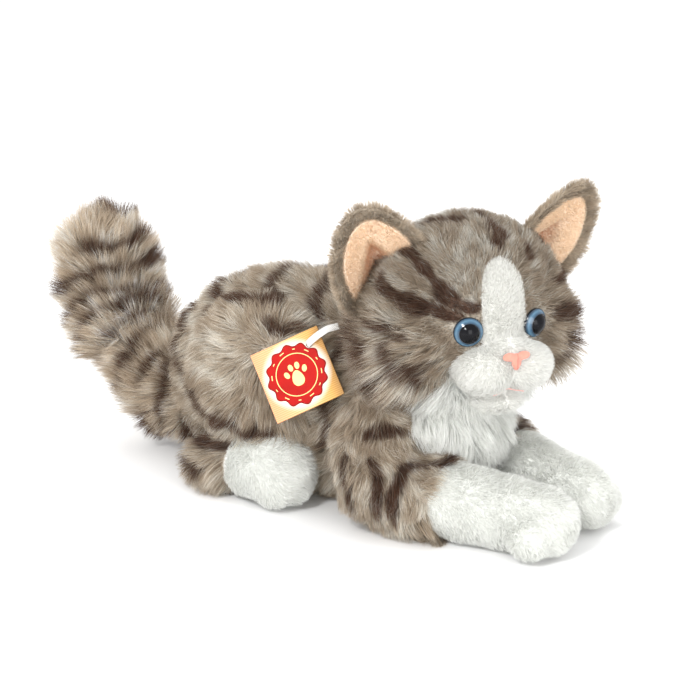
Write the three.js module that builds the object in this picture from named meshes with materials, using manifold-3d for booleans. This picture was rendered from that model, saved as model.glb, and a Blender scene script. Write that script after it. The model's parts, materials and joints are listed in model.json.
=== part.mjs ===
import * as THREE from "three";
import { mergeVertices } from "three/addons/utils/BufferGeometryUtils.js";
import Module from "manifold-3d";

// A plush kitten that lies on its belly, forelegs stretched out, tail curled up, head turned to its right.
// Millimetres. +X runs from tail to forepaws, +Y to the kitten's left, +Z up, and the ground is z = 0.
// Each sewn limb is a group that stands at the point the limb turns about.

const wasm = await Module();
wasm.setup();

// ---- Driving dimensions ----

const GAP = 0.3; // between pieces that touch
const ROOM = 1.6; // round a piece that turns in its socket
const COVER = 4; // a plush cover: knitted backing with its pile pressed down
const FACE_COVER = 3; // the short-pile cover of the muzzle

const TORSO = { centre: [-6, 0, 58], radii: [94, 48, 66] };
const CHEST = { centre: [80, -1, 52], radii: [38, 42, 42] };
const BIB = { centre: [87, -1, 53], radii: [38, 39, 35] };
const BELLY_SLICE = 5; // the flat belly panel's height

const NECK = { pivot: [95, 0, 84], radius: 26 };
const HEAD_TURN = -27; // degrees, the sewn pose of the face
const HEAD_ROOM = 8; // the clear space that the head turns and nods in
const CHIN_ROOM = { centre: [33, 0, -40], radii: [23, 31, 18] };
const HEAD = { forward: 7, up: 36, radii: [42, 54, 50] };
const MUZZLE = { centre: [36, 0, -26], radii: [19, 27, 16] };
const CHIN = { centre: [33, 0, -40], radii: [15, 17, 10] };
const BLAZE = { top: 38, halfWidth: 12.5, bottom: -36 };
const FLARE = { from: -4, bend: -14, to: -20, halfWidth: 24 }; // where the blaze widens, top to bottom
const NOSE = { halfWidth: 6.5, top: -12.5, bottom: -22.5, thick: 1.5, dip: 0.8, lobe: 2.5, stem: 5 };
const MOUTH = { halfWidth: 9, middle: -34, corner: -36, thread: 0.5 };

const EYE = { aside: 20.5, up: -3.5, radius: 8, rim: 1.4, dome: 5.5, shank: 2.2, shankLength: 13, sunk: 2.5 };
const PUPIL = { radius: 5.6, seat: 2.2, rim: 3.9, dome: 6.3 };
const WASHER = { radius: 8, thick: 1.6, depth: 5 };

const EAR = { at: [-9, 48, 27], halfWidth: 21, height: 38, root: 14 };
const EAR_POSE = { aside: 31, ahead: 22, outward: 18 }; // degrees it leans and turns
const EAR_CUP = 26; // radius of its hollow
const EAR_OUTER = 2.4; // thickness of the ear's grey back
const EAR_LINING = 1.6; // thickness of its peach lining
const EAR_HEM = 3.5; // how far the lining stops inside the ear's edge
const EAR_ROOM = 2.4; // round the ear's root in the head
const EAR_FOLD = 20; // degrees it folds each way

const HIND = { hip: [-13, 34, 69], thigh: [45, 27, 45], swing: 15 };
const HIND_FOOT = [
  { at: [-41, 44, 15], r: 15 },
  { at: [-16, 46, 19], r: 19 },
  { at: [10, 48, 22], r: 23 },
];
const HIND_SEAM = -19; // x of the seam between tabby leg and white paw
const HIND_TOP = 60; // the white paw lies below this height
const HIND_OPENING = { at: [-13, 6, 69], r: 20 }; // where the leg's filling meets the torso's

const FORE = { shoulder: [69, 38, 58], elbow: [76, 44, 29], lift: 15 };
const FORE_RADII = { shoulder: 23, elbow: 26, wrist: 22.5, paw: 20 };
const WRIST = { x: 114, z: 22 }; // half way across from elbow to paw
const FORE_SEAM = 112; // x of the seam between tabby sleeve and white paw
const FOREPAW = { right: [167, 25.5, 18.5], left: [163, 19, 18.5] }; // where each forepaw ends
const FORE_OPENING = { at: [69, 14, 58], r: 16 };

const TAIL_ROOT = [-82, 0, 38];
const TAIL_BEND = [-124, 1, 50];
const TAIL_RADIUS = 25.5;
const TAIL_DROP = -5;
const TAIL_LIFT = 20;
const TAIL_CURL = 20;
const TAIL_OPENING = { low: [-82, -12, 26], high: [0, 12, 50] };

const TAG = { centre: [27.3, -54.5, 80.5], size: 40, card: 0.5, apart: 0.4, hole: 2, holeInset: 7.5 };
const TAG_RIGHT = [0.763, 0.468, 0.443]; // along the card's top edge
const TAG_OUT = [0.325, -0.874, 0.361]; // its face's direction
const LOOP = { anchor: [42, -37, 106], radius: 1 };

const SIDES = { right: -1, left: 1 };
const AROUND = 14; // facets round an ellipsoid
const TUBE_AROUND = 10; // facets round a limb
const EYE_AROUND = 12; // facets round an eye
const CUP_AROUND = 24; // facets round the whole of an ear's cup

// ---- Materials ----

function cloth(colour, roughness = 0.95) {
  return new THREE.MeshStandardMaterial({ color: colour, roughness, metalness: 0 });
}

const tabby = cloth(0xb0a392);
const whitePlush = cloth(0xf1f0ec);
const peachPlush = cloth(0xf0d2b4);
const pinkFelt = cloth(0xe2998a, 0.8);
const filling = cloth(0xf6f6f4);
const blueEye = new THREE.MeshStandardMaterial({ color: 0x6ea0c3, roughness: 0.12 });
const blackEye = new THREE.MeshStandardMaterial({ color: 0x0a0a0a, roughness: 0.06 });
const clearPlastic = new THREE.MeshStandardMaterial({ color: 0xf2f2f0, roughness: 0.3 });
const card = new THREE.MeshStandardMaterial({ color: 0xf3d9b0, roughness: 0.55 });

// ---- Solids ----

function solidOf(geometry) {
  const bare = geometry.clone();
  bare.deleteAttribute("normal");
  bare.deleteAttribute("uv");
  const merged = mergeVertices(bare, 1e-4);
  return new wasm.Manifold(
    new wasm.Mesh({
      numProp: 3,
      vertProperties: merged.attributes.position.array,
      triVerts: new Uint32Array(merged.index.array),
    }),
  );
}

function geometryOf(solid) {
  const mesh = solid.getMesh();
  const geometry = new THREE.BufferGeometry();
  geometry.setAttribute("position", new THREE.BufferAttribute(mesh.vertProperties, 3));
  geometry.setIndex(new THREE.BufferAttribute(mesh.triVerts, 1));
  geometry.computeVertexNormals();
  return geometry;
}

function cut(solid, ...tools) {
  return tools.reduce((left, tool) => left.subtract(tool), solid);
}

function join(first, ...others) {
  return others.reduce((all, other) => all.add(other), first);
}

// The main body of a solid, without the slivers that a cut leaves loose.
function largest(solid) {
  return solid.decompose().sort((a, b) => b.volume() - a.volume())[0];
}

// An ellipsoid, grown by a margin, in the frame of the given matrix.
function ellipsoid({ centre = [0, 0, 0], radii }, grow = 0, frame = new THREE.Matrix4()) {
  const ball = new THREE.SphereGeometry(1, AROUND, AROUND / 2);
  ball.scale(...radii.map((radius) => radius + grow));
  ball.translate(...centre);
  return solidOf(ball.applyMatrix4(frame));
}

function ballAt(centre, radius) {
  return ellipsoid({ centre, radii: [radius, radius, radius] });
}

// A box from its lowest to its highest corner.
function block(low, high, frame = new THREE.Matrix4()) {
  const box = new THREE.BoxGeometry(...high.map((value, axis) => value - low[axis]));
  box.translate(...high.map((value, axis) => (value + low[axis]) / 2));
  return solidOf(box.applyMatrix4(frame));
}

const FAR = 400; // further than any piece reaches
const REACH = 80; // further than any feature stands from the middle of the head
const underground = block([-FAR, -FAR, -FAR], [FAR, FAR, 0]);

function behind(x) {
  return block([-FAR, -FAR, -FAR], [x, FAR, FAR]);
}

function ahead(x) {
  return block([x, -FAR, -FAR], [FAR, FAR, FAR]);
}

// A soft tube with round ends, its centreline a smooth curve through the stations { at, r }.
function softTube(stations, grow = 0) {
  const capRings = 2;
  const bodyRings = 2 * (stations.length - 1);
  const rings = 2 * capRings + bodyRings;
  const points = stations.map(({ at }) => new THREE.Vector3(...at));
  const curve = new THREE.CatmullRomCurve3(points, false, "centripetal");
  const tube = new THREE.SphereGeometry(1, TUBE_AROUND, rings);
  const position = tube.getAttribute("position");
  for (let i = 0; i < position.count; i++) {
    const column = i % (TUBE_AROUND + 1);
    const ring = rings - (i - column) / (TUBE_AROUND + 1) - capRings;
    const along = THREE.MathUtils.clamp(ring / bodyRings, 0, 1);
    const beyond = ring - along * bodyRings;
    const lean = (beyond / capRings) * (Math.PI / 2);
    const radius = radiusAlong(stations, along) + grow;
    const tangent = curve.getTangent(along);
    const upward = new THREE.Vector3().crossVectors(tangent, new THREE.Vector3(0, 1, 0)).normalize();
    const sideways = new THREE.Vector3().crossVectors(upward, tangent);
    const turn = (column / TUBE_AROUND) * 2 * Math.PI;
    const point = curve.getPoint(along);
    point.addScaledVector(tangent, radius * Math.sin(lean));
    point.addScaledVector(upward, -radius * Math.cos(lean) * Math.cos(turn));
    point.addScaledVector(sideways, radius * Math.cos(lean) * Math.sin(turn));
    position.setXYZ(i, point.x, point.y, point.z);
  }
  return solidOf(tube);
}

function radiusAlong(stations, along) {
  const place = along * (stations.length - 1);
  const before = Math.min(Math.floor(place), stations.length - 2);
  return THREE.MathUtils.lerp(stations[before].r, stations[before + 1].r, place - before);
}

function turnAbout(pivot, axis, degrees) {
  const there = new THREE.Matrix4().makeTranslation(...pivot);
  const back = there.clone().invert();
  const direction = new THREE.Vector3(...axis).normalize();
  const turn = new THREE.Matrix4().makeRotationAxis(direction, THREE.MathUtils.degToRad(degrees));
  return there.multiply(turn).multiply(back);
}

function turned(solid, pivot, axis, degrees) {
  return solidOf(geometryOf(solid).applyMatrix4(turnAbout(pivot, axis, degrees)));
}

// The space that a solid passes through as it turns.
function sweep(solid, pivot, axis, angles) {
  return join(...angles.map((degrees) => turned(solid, pivot, axis, degrees)));
}

function mirrorTo(side, [x, y, z]) {
  return [x, side * y, z];
}

// ---- The scene graph: one group at each pivot ----

const kitten = new THREE.Group();

function groupAt(position, parent = kitten, turnZ = 0) {
  const group = new THREE.Group();
  group.position.set(...position);
  group.rotation.z = THREE.MathUtils.degToRad(turnZ);
  parent.add(group);
  group.updateWorldMatrix(true, false);
  return group;
}

// Adds a solid, made in the kitten's frame, to a group as a named mesh.
function addPiece(name, solid, material, group = kitten) {
  const geometry = geometryOf(solid);
  geometry.applyMatrix4(group.matrixWorld.clone().invert());
  const mesh = new THREE.Mesh(geometry, material);
  mesh.name = name;
  group.add(mesh);
}

const neck = groupAt(NECK.pivot, kitten, HEAD_TURN);
const head = groupAt([HEAD.forward, 0, HEAD.up], neck);

// ---- Head: outer and inner envelopes, in the head's own frame ----

const headFrame = head.matrixWorld;
const headOuter = ellipsoid(HEAD, 0, headFrame);
const headInner = ellipsoid(HEAD, -COVER, headFrame);
const muzzleOuter = ellipsoid(MUZZLE, 0, headFrame);
const muzzleRoom = ellipsoid(MUZZLE, GAP, headFrame);
const neckSocket = ballAt(NECK.pivot, NECK.radius + ROOM);

// The clear space above the chest that the turning and nodding head needs.
const headRoom = join(ellipsoid(HEAD, HEAD_ROOM, headFrame), ellipsoid(CHIN_ROOM, 0, headFrame));

// A prism along a frame's forward axis whose outline lies in its (aside, up) plane.
function faceward(outline, { grow = 0, back = 0, frame = headFrame } = {}) {
  const prism = new THREE.ExtrudeGeometry(outline, {
    depth: REACH,
    bevelEnabled: grow > 0,
    bevelThickness: grow,
    bevelSize: grow,
    bevelSegments: 1,
    curveSegments: 3,
  });
  prism.translate(0, 0, -back);
  const axes = new THREE.Matrix4().makeBasis(
    new THREE.Vector3(0, 1, 0),
    new THREE.Vector3(0, 0, 1),
    new THREE.Vector3(1, 0, 0),
  );
  return solidOf(prism.applyMatrix4(axes).applyMatrix4(frame));
}

// The white blaze: a rounded strip down the forehead that flares to the muzzle's width.
function blazeOutline() {
  const { top, halfWidth, bottom } = BLAZE;
  const outline = new THREE.Shape();
  outline.moveTo(halfWidth, FLARE.from);
  outline.lineTo(halfWidth, top - halfWidth);
  outline.absarc(0, top - halfWidth, halfWidth, 0, Math.PI);
  outline.lineTo(-halfWidth, FLARE.from);
  outline.quadraticCurveTo(-halfWidth, FLARE.bend, -FLARE.halfWidth, FLARE.to);
  outline.lineTo(-FLARE.halfWidth, bottom);
  outline.lineTo(FLARE.halfWidth, bottom);
  outline.lineTo(FLARE.halfWidth, FLARE.to);
  outline.quadraticCurveTo(halfWidth, FLARE.bend, halfWidth, FLARE.from);
  return outline;
}

// The nose: two lobes above and a stem below.
function noseOutline() {
  const { halfWidth, top, bottom, dip, lobe, stem } = NOSE;
  const stemHalf = halfWidth * 0.35;
  const outline = new THREE.Shape();
  outline.moveTo(0, top - dip);
  outline.quadraticCurveTo(halfWidth * 0.8, top + 2 * dip, halfWidth, top - lobe);
  outline.quadraticCurveTo(halfWidth * 0.9, top - stem, stemHalf, top - stem);
  outline.quadraticCurveTo(stemHalf, bottom, 0, bottom);
  outline.quadraticCurveTo(-stemHalf, bottom, -stemHalf, top - stem);
  outline.quadraticCurveTo(-halfWidth * 0.9, top - stem, -halfWidth, top - lobe);
  outline.quadraticCurveTo(-halfWidth * 0.8, top + 2 * dip, 0, top - dip);
  return outline;
}

// The frame of an eye: its z axis stands on the head's surface.
function eyeFrame(side) {
  const [deep, wide, tall] = HEAD.radii;
  const aside = side * EYE.aside;
  const forward = deep * Math.sqrt(1 - (aside / wide) ** 2 - (EYE.up / tall) ** 2);
  const outward = new THREE.Vector3(forward / deep ** 2, aside / wide ** 2, EYE.up / tall ** 2).normalize();
  const turn = new THREE.Quaternion().setFromUnitVectors(new THREE.Vector3(0, 0, 1), outward);
  const place = new THREE.Vector3(forward, aside, EYE.up).addScaledVector(outward, GAP - EYE.sunk);
  const frame = new THREE.Matrix4().compose(place, turn, new THREE.Vector3(1, 1, 1));
  return headFrame.clone().multiply(frame);
}

// A turned solid: its profile runs [radius, height] from the axis and back to it.
function lathe(profile, frame, around = EYE_AROUND) {
  const points = profile.map(([radius, height]) => new THREE.Vector2(radius, height));
  const body = new THREE.LatheGeometry(points, around);
  body.rotateX(Math.PI / 2);
  return solidOf(body.applyMatrix4(frame));
}

// Points of a shallow dome from its rim to a smaller radius.
function domeProfile(rimRadius, rimHeight, apexHeight, endRadius = 0, steps = 3) {
  const rise = apexHeight - rimHeight;
  const points = [];
  for (let i = 0; i <= steps; i++) {
    const radius = THREE.MathUtils.lerp(rimRadius, endRadius, i / steps);
    points.push([radius, rimHeight + rise * (1 - (radius / rimRadius) ** 2)]);
  }
  return points;
}

function ring(outer, inner, low, high, frame, around) {
  const profile = [[inner, low], [outer, low], [outer, high], [inner, high], [inner, low]];
  return lathe(profile, frame, around);
}

function rod(radius, low, high, frame) {
  return lathe([[0, low], [radius, low], [radius, high], [0, high]], frame);
}

// ---- Ears ----

function earFrame(side) {
  const place = new THREE.Matrix4().makeTranslation(...mirrorTo(side, EAR.at));
  const aside = new THREE.Matrix4().makeRotationX(THREE.MathUtils.degToRad(-side * EAR_POSE.aside));
  const ahead = new THREE.Matrix4().makeRotationY(THREE.MathUtils.degToRad(EAR_POSE.ahead));
  const outward = new THREE.Matrix4().makeRotationZ(THREE.MathUtils.degToRad(side * EAR_POSE.outward));
  return headFrame.clone().multiply(place).multiply(aside).multiply(ahead).multiply(outward);
}

// A turned shell round an upright axis, between two radii.
function upright(outer, inner, frame) {
  return ring(outer, inner, -REACH, REACH, frame, CUP_AROUND);
}

// A layer of the cupped ear: its outline, then the back of the cup that it is cut from.
function earLayer(side, outerRadius, thick, inset) {
  const frame = earFrame(side);
  const width = EAR.halfWidth - inset;
  const top = EAR.height - inset;
  const outline = new THREE.Shape();
  outline.moveTo(-width, -EAR.root);
  outline.quadraticCurveTo(-width, top * 0.6, -width * 0.25, top * 0.94);
  outline.quadraticCurveTo(0, top * 1.05, width * 0.25, top * 0.94);
  outline.quadraticCurveTo(width, top * 0.6, width, -EAR.root);
  const cupFrame = frame.clone().multiply(new THREE.Matrix4().makeTranslation(EAR_CUP, 0, 0));
  const shell = upright(outerRadius, outerRadius - thick, cupFrame);
  const back = block([-REACH, -REACH, -REACH], [EAR_CUP * 0.75, REACH, REACH], frame);
  return shell.intersect(back).intersect(faceward(outline, { back: EAR_CUP, frame }));
}

// The ear folds about a line along its root, on the head's surface.
function earPivot(side) {
  return new THREE.Vector3().setFromMatrixPosition(earFrame(side)).toArray();
}

function earAxis(side) {
  return new THREE.Vector3(0, 1, 0).transformDirection(earFrame(side)).toArray();
}

// ---- Limbs ----

function foreStations(side) {
  const paw = side < 0 ? FOREPAW.right : FOREPAW.left;
  const wrist = [WRIST.x, (FORE.elbow[1] + paw[1]) / 2, WRIST.z];
  return [
    { at: mirrorTo(side, FORE.shoulder), r: FORE_RADII.shoulder },
    { at: mirrorTo(side, FORE.elbow), r: FORE_RADII.elbow },
    { at: mirrorTo(side, wrist), r: FORE_RADII.wrist },
    { at: mirrorTo(side, paw), r: FORE_RADII.paw },
  ];
}

function foreSolid(side, grow = 0) {
  return cut(softTube(foreStations(side), grow), underground);
}

function thighSolid(side, grow = 0) {
  return ellipsoid({ centre: mirrorTo(side, HIND.hip), radii: HIND.thigh }, grow);
}

function footSolid(side, grow = 0) {
  const stations = HIND_FOOT.map(({ at, r }) => ({ at: mirrorTo(side, at), r }));
  return cut(softTube(stations, grow), underground);
}

function hindSolid(side, grow = 0) {
  return join(thighSolid(side, grow), footSolid(side, grow));
}

const tailBaseStations = [
  { at: TAIL_ROOT, r: TAIL_RADIUS },
  { at: [-104, 0, 38], r: TAIL_RADIUS },
  { at: TAIL_BEND, r: TAIL_RADIUS },
];
const tailTipStations = [
  { at: TAIL_BEND, r: TAIL_RADIUS },
  { at: [-149, 4, 72], r: TAIL_RADIUS },
  { at: [-164, 8, 105], r: TAIL_RADIUS - 0.5 },
];

const acrossForward = [0, -1, 0]; // turning about it lifts what lies ahead
const across = [0, 1, 0]; // turning about it lifts what lies behind

// The torso's spaces for the pieces that turn in it.
function torsoSockets() {
  const tail = cut(softTube(tailBaseStations, ROOM), underground);
  const spaces = [
    headRoom,
    neckSocket,
    sweep(tail, TAIL_ROOT, across, [TAIL_DROP, (TAIL_DROP + TAIL_LIFT) / 2, TAIL_LIFT]),
  ];
  for (const side of Object.values(SIDES)) {
    const shoulder = mirrorTo(side, FORE.shoulder);
    const hip = mirrorTo(side, HIND.hip);
    spaces.push(sweep(foreSolid(side, ROOM), shoulder, acrossForward, [0, FORE.lift]));
    spaces.push(thighSolid(side, ROOM));
    spaces.push(sweep(footSolid(side, ROOM), hip, acrossForward, [0, HIND.swing / 2, HIND.swing]));
  }
  return spaces;
}

// ---- Torso ----

function addTorso() {
  const outer = cut(join(ellipsoid(TORSO), ellipsoid(CHEST)), underground);
  const floorOfFilling = block([-FAR, -FAR, -FAR], [FAR, FAR, COVER]);
  const inner = cut(join(ellipsoid(TORSO, -COVER), ellipsoid(CHEST, -COVER)), floorOfFilling);
  const filled = cut(join(ellipsoid(TORSO, -COVER - GAP), ellipsoid(CHEST, -COVER - GAP)), floorOfFilling);
  const sockets = torsoSockets();
  const skin = cut(outer, inner, ...sockets);
  const belowSeam = block([-FAR, -FAR, -FAR], [FAR, FAR, BELLY_SLICE]);
  const aboveSeam = block([-FAR, -FAR, BELLY_SLICE + GAP], [FAR, FAR, FAR]);
  const bibPad = cut(ellipsoid(BIB), ellipsoid(CHEST, GAP), ellipsoid(TORSO, GAP), underground, ...sockets);
  const sheetOfGap = block([-FAR, -FAR, COVER], [FAR, FAR, COVER + GAP]);
  addPiece("torso_cover", largest(skin.intersect(aboveSeam)), tabby);
  addPiece("belly_panel", largest(skin.intersect(belowSeam)), tabby);
  addPiece("torso_stuffing", largest(cut(filled, sheetOfGap, ...sockets)), filling);
  addPiece("chest_bib", largest(bibPad), whitePlush);
  addPiece("neck_stuffing", ballAt(NECK.pivot, NECK.radius), filling, neck);
}

// ---- Head ----

function addHead() {
  const muzzleInner = ellipsoid(MUZZLE, -FACE_COVER, headFrame);
  const blaze = faceward(blazeOutline());
  const blazeRoom = faceward(blazeOutline(), { grow: GAP });
  const pockets = [];
  const shankHoles = [];
  const eyeHollows = [];
  const washerPockets = [];
  for (const side of Object.values(SIDES)) {
    const earThick = EAR_OUTER + GAP + EAR_LINING;
    const room = earLayer(side, EAR_CUP + EAR_ROOM, earThick + 2 * EAR_ROOM, -EAR_ROOM);
    const clear = cut(room, ellipsoid(HEAD, 0.1, headFrame));
    pockets.push(sweep(clear, earPivot(side), earAxis(side), [-EAR_FOLD, 0, EAR_FOLD]));
    const frame = eyeFrame(side);
    shankHoles.push(rod(EYE.shank + GAP, -EYE.shankLength - 1, 2, frame));
    eyeHollows.push(rod(EYE.radius + GAP, -GAP, EYE.dome, frame));
    washerPockets.push(rod(WASHER.radius + 0.5, -EYE.shankLength - 1, -1, frame));
  }
  const shell = cut(headOuter, headInner, neckSocket, ...pockets, ...shankHoles, ...eyeHollows);
  addPiece("head_cover", largest(cut(shell, blazeRoom, muzzleRoom)), tabby, head);
  addPiece("face_blaze", largest(cut(shell.intersect(blaze), muzzleRoom)), whitePlush, head);
  const cup = cut(muzzleOuter, muzzleInner, ellipsoid(HEAD, GAP - COVER, headFrame));
  addPiece("muzzle_cover", largest(cut(cup, ...shankHoles, ...eyeHollows)), whitePlush, head);
  const filled = join(
    ellipsoid(HEAD, -COVER - GAP, headFrame),
    ellipsoid(MUZZLE, -FACE_COVER - GAP, headFrame),
  );
  const stuffing = cut(filled, neckSocket, ...pockets, ...shankHoles, ...washerPockets);
  addPiece("head_stuffing", largest(stuffing), filling, head);
  const chin = cut(ellipsoid(CHIN, 0, headFrame), ellipsoid(HEAD, GAP, headFrame), muzzleRoom);
  addPiece("chin", largest(chin), whitePlush, head);
  addNoseAndMouth();
}

function addNoseAndMouth() {
  const headClear = ellipsoid(HEAD, GAP, headFrame);
  const thin = cut(ellipsoid(MUZZLE, GAP + NOSE.thick, headFrame), muzzleRoom, headClear);
  addPiece("nose", largest(thin.intersect(faceward(noseOutline()))), pinkFelt, head);
  const [deep, wide, tall] = MUZZLE.radii.map((radius) => radius + 2 * GAP + MOUTH.thread);
  const points = [-1, -0.5, 0, 0.5, 1].map((share) => {
    const aside = share * MOUTH.halfWidth;
    const up = THREE.MathUtils.lerp(MOUTH.middle, MOUTH.corner, Math.abs(share)) - MUZZLE.centre[2];
    const forward = deep * Math.sqrt(1 - (aside / wide) ** 2 - (up / tall) ** 2);
    return new THREE.Vector3(MUZZLE.centre[0] + forward, aside, MUZZLE.centre[2] + up);
  });
  const section = new THREE.Shape().absarc(0, 0, MOUTH.thread, 0, 2 * Math.PI);
  const thread = new THREE.ExtrudeGeometry(section, {
    extrudePath: new THREE.CatmullRomCurve3(points),
    steps: 8,
    curveSegments: 3,
  });
  addPiece("mouth_thread", solidOf(thread.applyMatrix4(headFrame)), pinkFelt, head);
}

// A safety eye: a blue dome on a shank, a black pupil lens set in its front and a washer behind the cover.
function addEye(word, side) {
  const frame = eyeFrame(side);
  const lensSeat = PUPIL.radius + GAP;
  const iris = [
    [0, -EYE.shankLength],
    [EYE.shank, -EYE.shankLength],
    [EYE.shank, 0],
    [EYE.radius, 0],
    ...domeProfile(EYE.radius, EYE.rim, EYE.dome, lensSeat),
    [lensSeat, PUPIL.seat],
    [0, PUPIL.seat],
  ];
  const lens = [
    [0, PUPIL.seat + GAP],
    [PUPIL.radius, PUPIL.seat + GAP],
    ...domeProfile(PUPIL.radius, PUPIL.rim, PUPIL.dome),
  ];
  addPiece(`eye_${word}`, lathe(iris, frame), blueEye, head);
  addPiece(`pupil_${word}`, lathe(lens, frame), blackEye, head);
  const back = -WASHER.depth - WASHER.thick;
  const washer = ring(WASHER.radius, EYE.shank + GAP, back, -WASHER.depth, frame);
  addPiece(`eye_washer_${word}`, washer, clearPlastic, head);
}

function addEar(word, side) {
  const pivot = head.worldToLocal(new THREE.Vector3(...earPivot(side)));
  const group = groupAt(pivot.toArray(), head);
  const headClear = ellipsoid(HEAD, 0.8, headFrame);
  const outer = cut(earLayer(side, EAR_CUP, EAR_OUTER, 0), headClear);
  const lining = cut(earLayer(side, EAR_CUP - EAR_OUTER - GAP, EAR_LINING, EAR_HEM), headClear);
  addPiece(`ear_outer_${word}`, largest(outer), tabby, group);
  addPiece(`ear_lining_${word}`, largest(lining), peachPlush, group);
}

// ---- Legs and tail: a cover in two colours round a filling ----

function addForeleg(word, side) {
  const group = groupAt(mirrorTo(side, FORE.shoulder));
  const opening = ballAt(mirrorTo(side, FORE_OPENING.at), FORE_OPENING.r);
  const skin = cut(foreSolid(side), cut(softTube(foreStations(side), -COVER), underground), opening);
  addPiece(`foreleg_cover_${word}`, largest(cut(skin, ahead(FORE_SEAM))), tabby, group);
  addPiece(`forepaw_cover_${word}`, largest(cut(skin, behind(FORE_SEAM + GAP))), whitePlush, group);
  const stuffing = cut(softTube(foreStations(side), -COVER - 1), opening);
  addPiece(`foreleg_stuffing_${word}`, largest(stuffing), filling, group);
}

function addHindleg(word, side) {
  const group = groupAt(mirrorTo(side, HIND.hip));
  const opening = ballAt(mirrorTo(side, HIND_OPENING.at), HIND_OPENING.r);
  const skin = cut(hindSolid(side), hindSolid(side, -COVER), opening);
  addPiece(`hindleg_cover_${word}`, largest(cut(skin, pawBlock(side, 0))), tabby, group);
  addPiece(`hindpaw_cover_${word}`, largest(skin.intersect(pawBlock(side, GAP))), whitePlush, group);
  addPiece(`hindleg_stuffing_${word}`, largest(cut(hindSolid(side, -COVER - GAP), opening)), filling, group);
}

// The space of a hind paw: ahead of its seam and below the thigh.
function pawBlock(side, inset) {
  const low = [HIND_SEAM + inset, -FAR, -FAR];
  return cut(block(low, [FAR, FAR, HIND_TOP]), thighSolid(side, inset));
}

function addTail() {
  const base = groupAt(TAIL_ROOT);
  const tip = groupAt(TAIL_BEND.map((value, axis) => value - TAIL_ROOT[axis]), base);
  const opening = block(TAIL_OPENING.low, TAIL_OPENING.high);
  const baseSkin = cut(softTube(tailBaseStations), softTube(tailBaseStations, -COVER), opening);
  addPiece("tail_base_cover", largest(baseSkin), tabby, base);
  addPiece("tail_base_stuffing", largest(softTube(tailBaseStations, -COVER - GAP)), filling, base);
  const baseSweep = sweep(softTube(tailBaseStations, ROOM), TAIL_BEND, across, [-TAIL_CURL, 0, TAIL_CURL]);
  const tipSkin = cut(softTube(tailTipStations), softTube(tailTipStations, -COVER), baseSweep);
  addPiece("tail_tip_cover", largest(tipSkin), tabby, tip);
  const tipFilling = cut(softTube(tailTipStations, -COVER - GAP), baseSweep);
  addPiece("tail_tip_stuffing", largest(tipFilling), filling, tip);
}

// ---- Swing tag: a folded card on a plastic loop ----

function tagFrame() {
  const out = new THREE.Vector3(...TAG_OUT).normalize();
  const right = new THREE.Vector3(...TAG_RIGHT).normalize();
  const up = new THREE.Vector3().crossVectors(out, right).normalize();
  const frame = new THREE.Matrix4().makeBasis(right, up, out);
  return frame.setPosition(...TAG.centre);
}

function tagLeaf(depth) {
  const half = TAG.size / 2;
  const outline = new THREE.Shape();
  outline.moveTo(-half, -half);
  outline.lineTo(half, -half);
  outline.lineTo(half, half);
  outline.lineTo(-half, half);
  const hole = new THREE.Path();
  hole.absarc(half - TAG.holeInset, half - TAG.holeInset, TAG.hole, 0, 2 * Math.PI, true);
  outline.holes.push(hole);
  const leaf = new THREE.ExtrudeGeometry(outline, { depth: TAG.card, bevelEnabled: false, curveSegments: 4 });
  leaf.translate(0, 0, depth);
  return solidOf(leaf.applyMatrix4(tagFrame()));
}

function addTag() {
  const frame = tagFrame();
  const group = groupAt(LOOP.anchor);
  addPiece("tag_front_leaf", tagLeaf(TAG.apart / 2), card, group);
  addPiece("tag_back_leaf", tagLeaf(-TAG.card - TAG.apart / 2), card, group);
  const hole = TAG.size / 2 - TAG.holeInset;
  const inHole = (x, y, z) => new THREE.Vector3(x, y, z).applyMatrix4(frame);
  const path = new THREE.CatmullRomCurve3([
    new THREE.Vector3(...LOOP.anchor),
    inHole(hole + 3, hole + 5, 4),
    inHole(hole, hole, 2),
    inHole(hole, hole, -2),
    inHole(hole + 1.5, hole + 1.5, -4),
  ]);
  const section = new THREE.Shape().absarc(0, 0, LOOP.radius, 0, 2 * Math.PI);
  const loop = new THREE.ExtrudeGeometry(section, { extrudePath: path, steps: 12, curveSegments: 4 });
  addPiece("tag_loop", solidOf(loop), clearPlastic, group);
}

// ---- Assembly ----

addTorso();
addHead();
addTail();
for (const [word, side] of Object.entries(SIDES)) {
  addEye(word, side);
  addEar(word, side);
  addForeleg(word, side);
  addHindleg(word, side);
}
addTag();

export default kitten;
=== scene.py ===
"""A plush tabby kitten that lies on its belly: sewn skins round their filling, a coat of fur strands,
safety eyes, lined ears, a flocked nose and a card swing tag. Lengths are in mm until a mesh is made."""

import math
from dataclasses import dataclass

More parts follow.
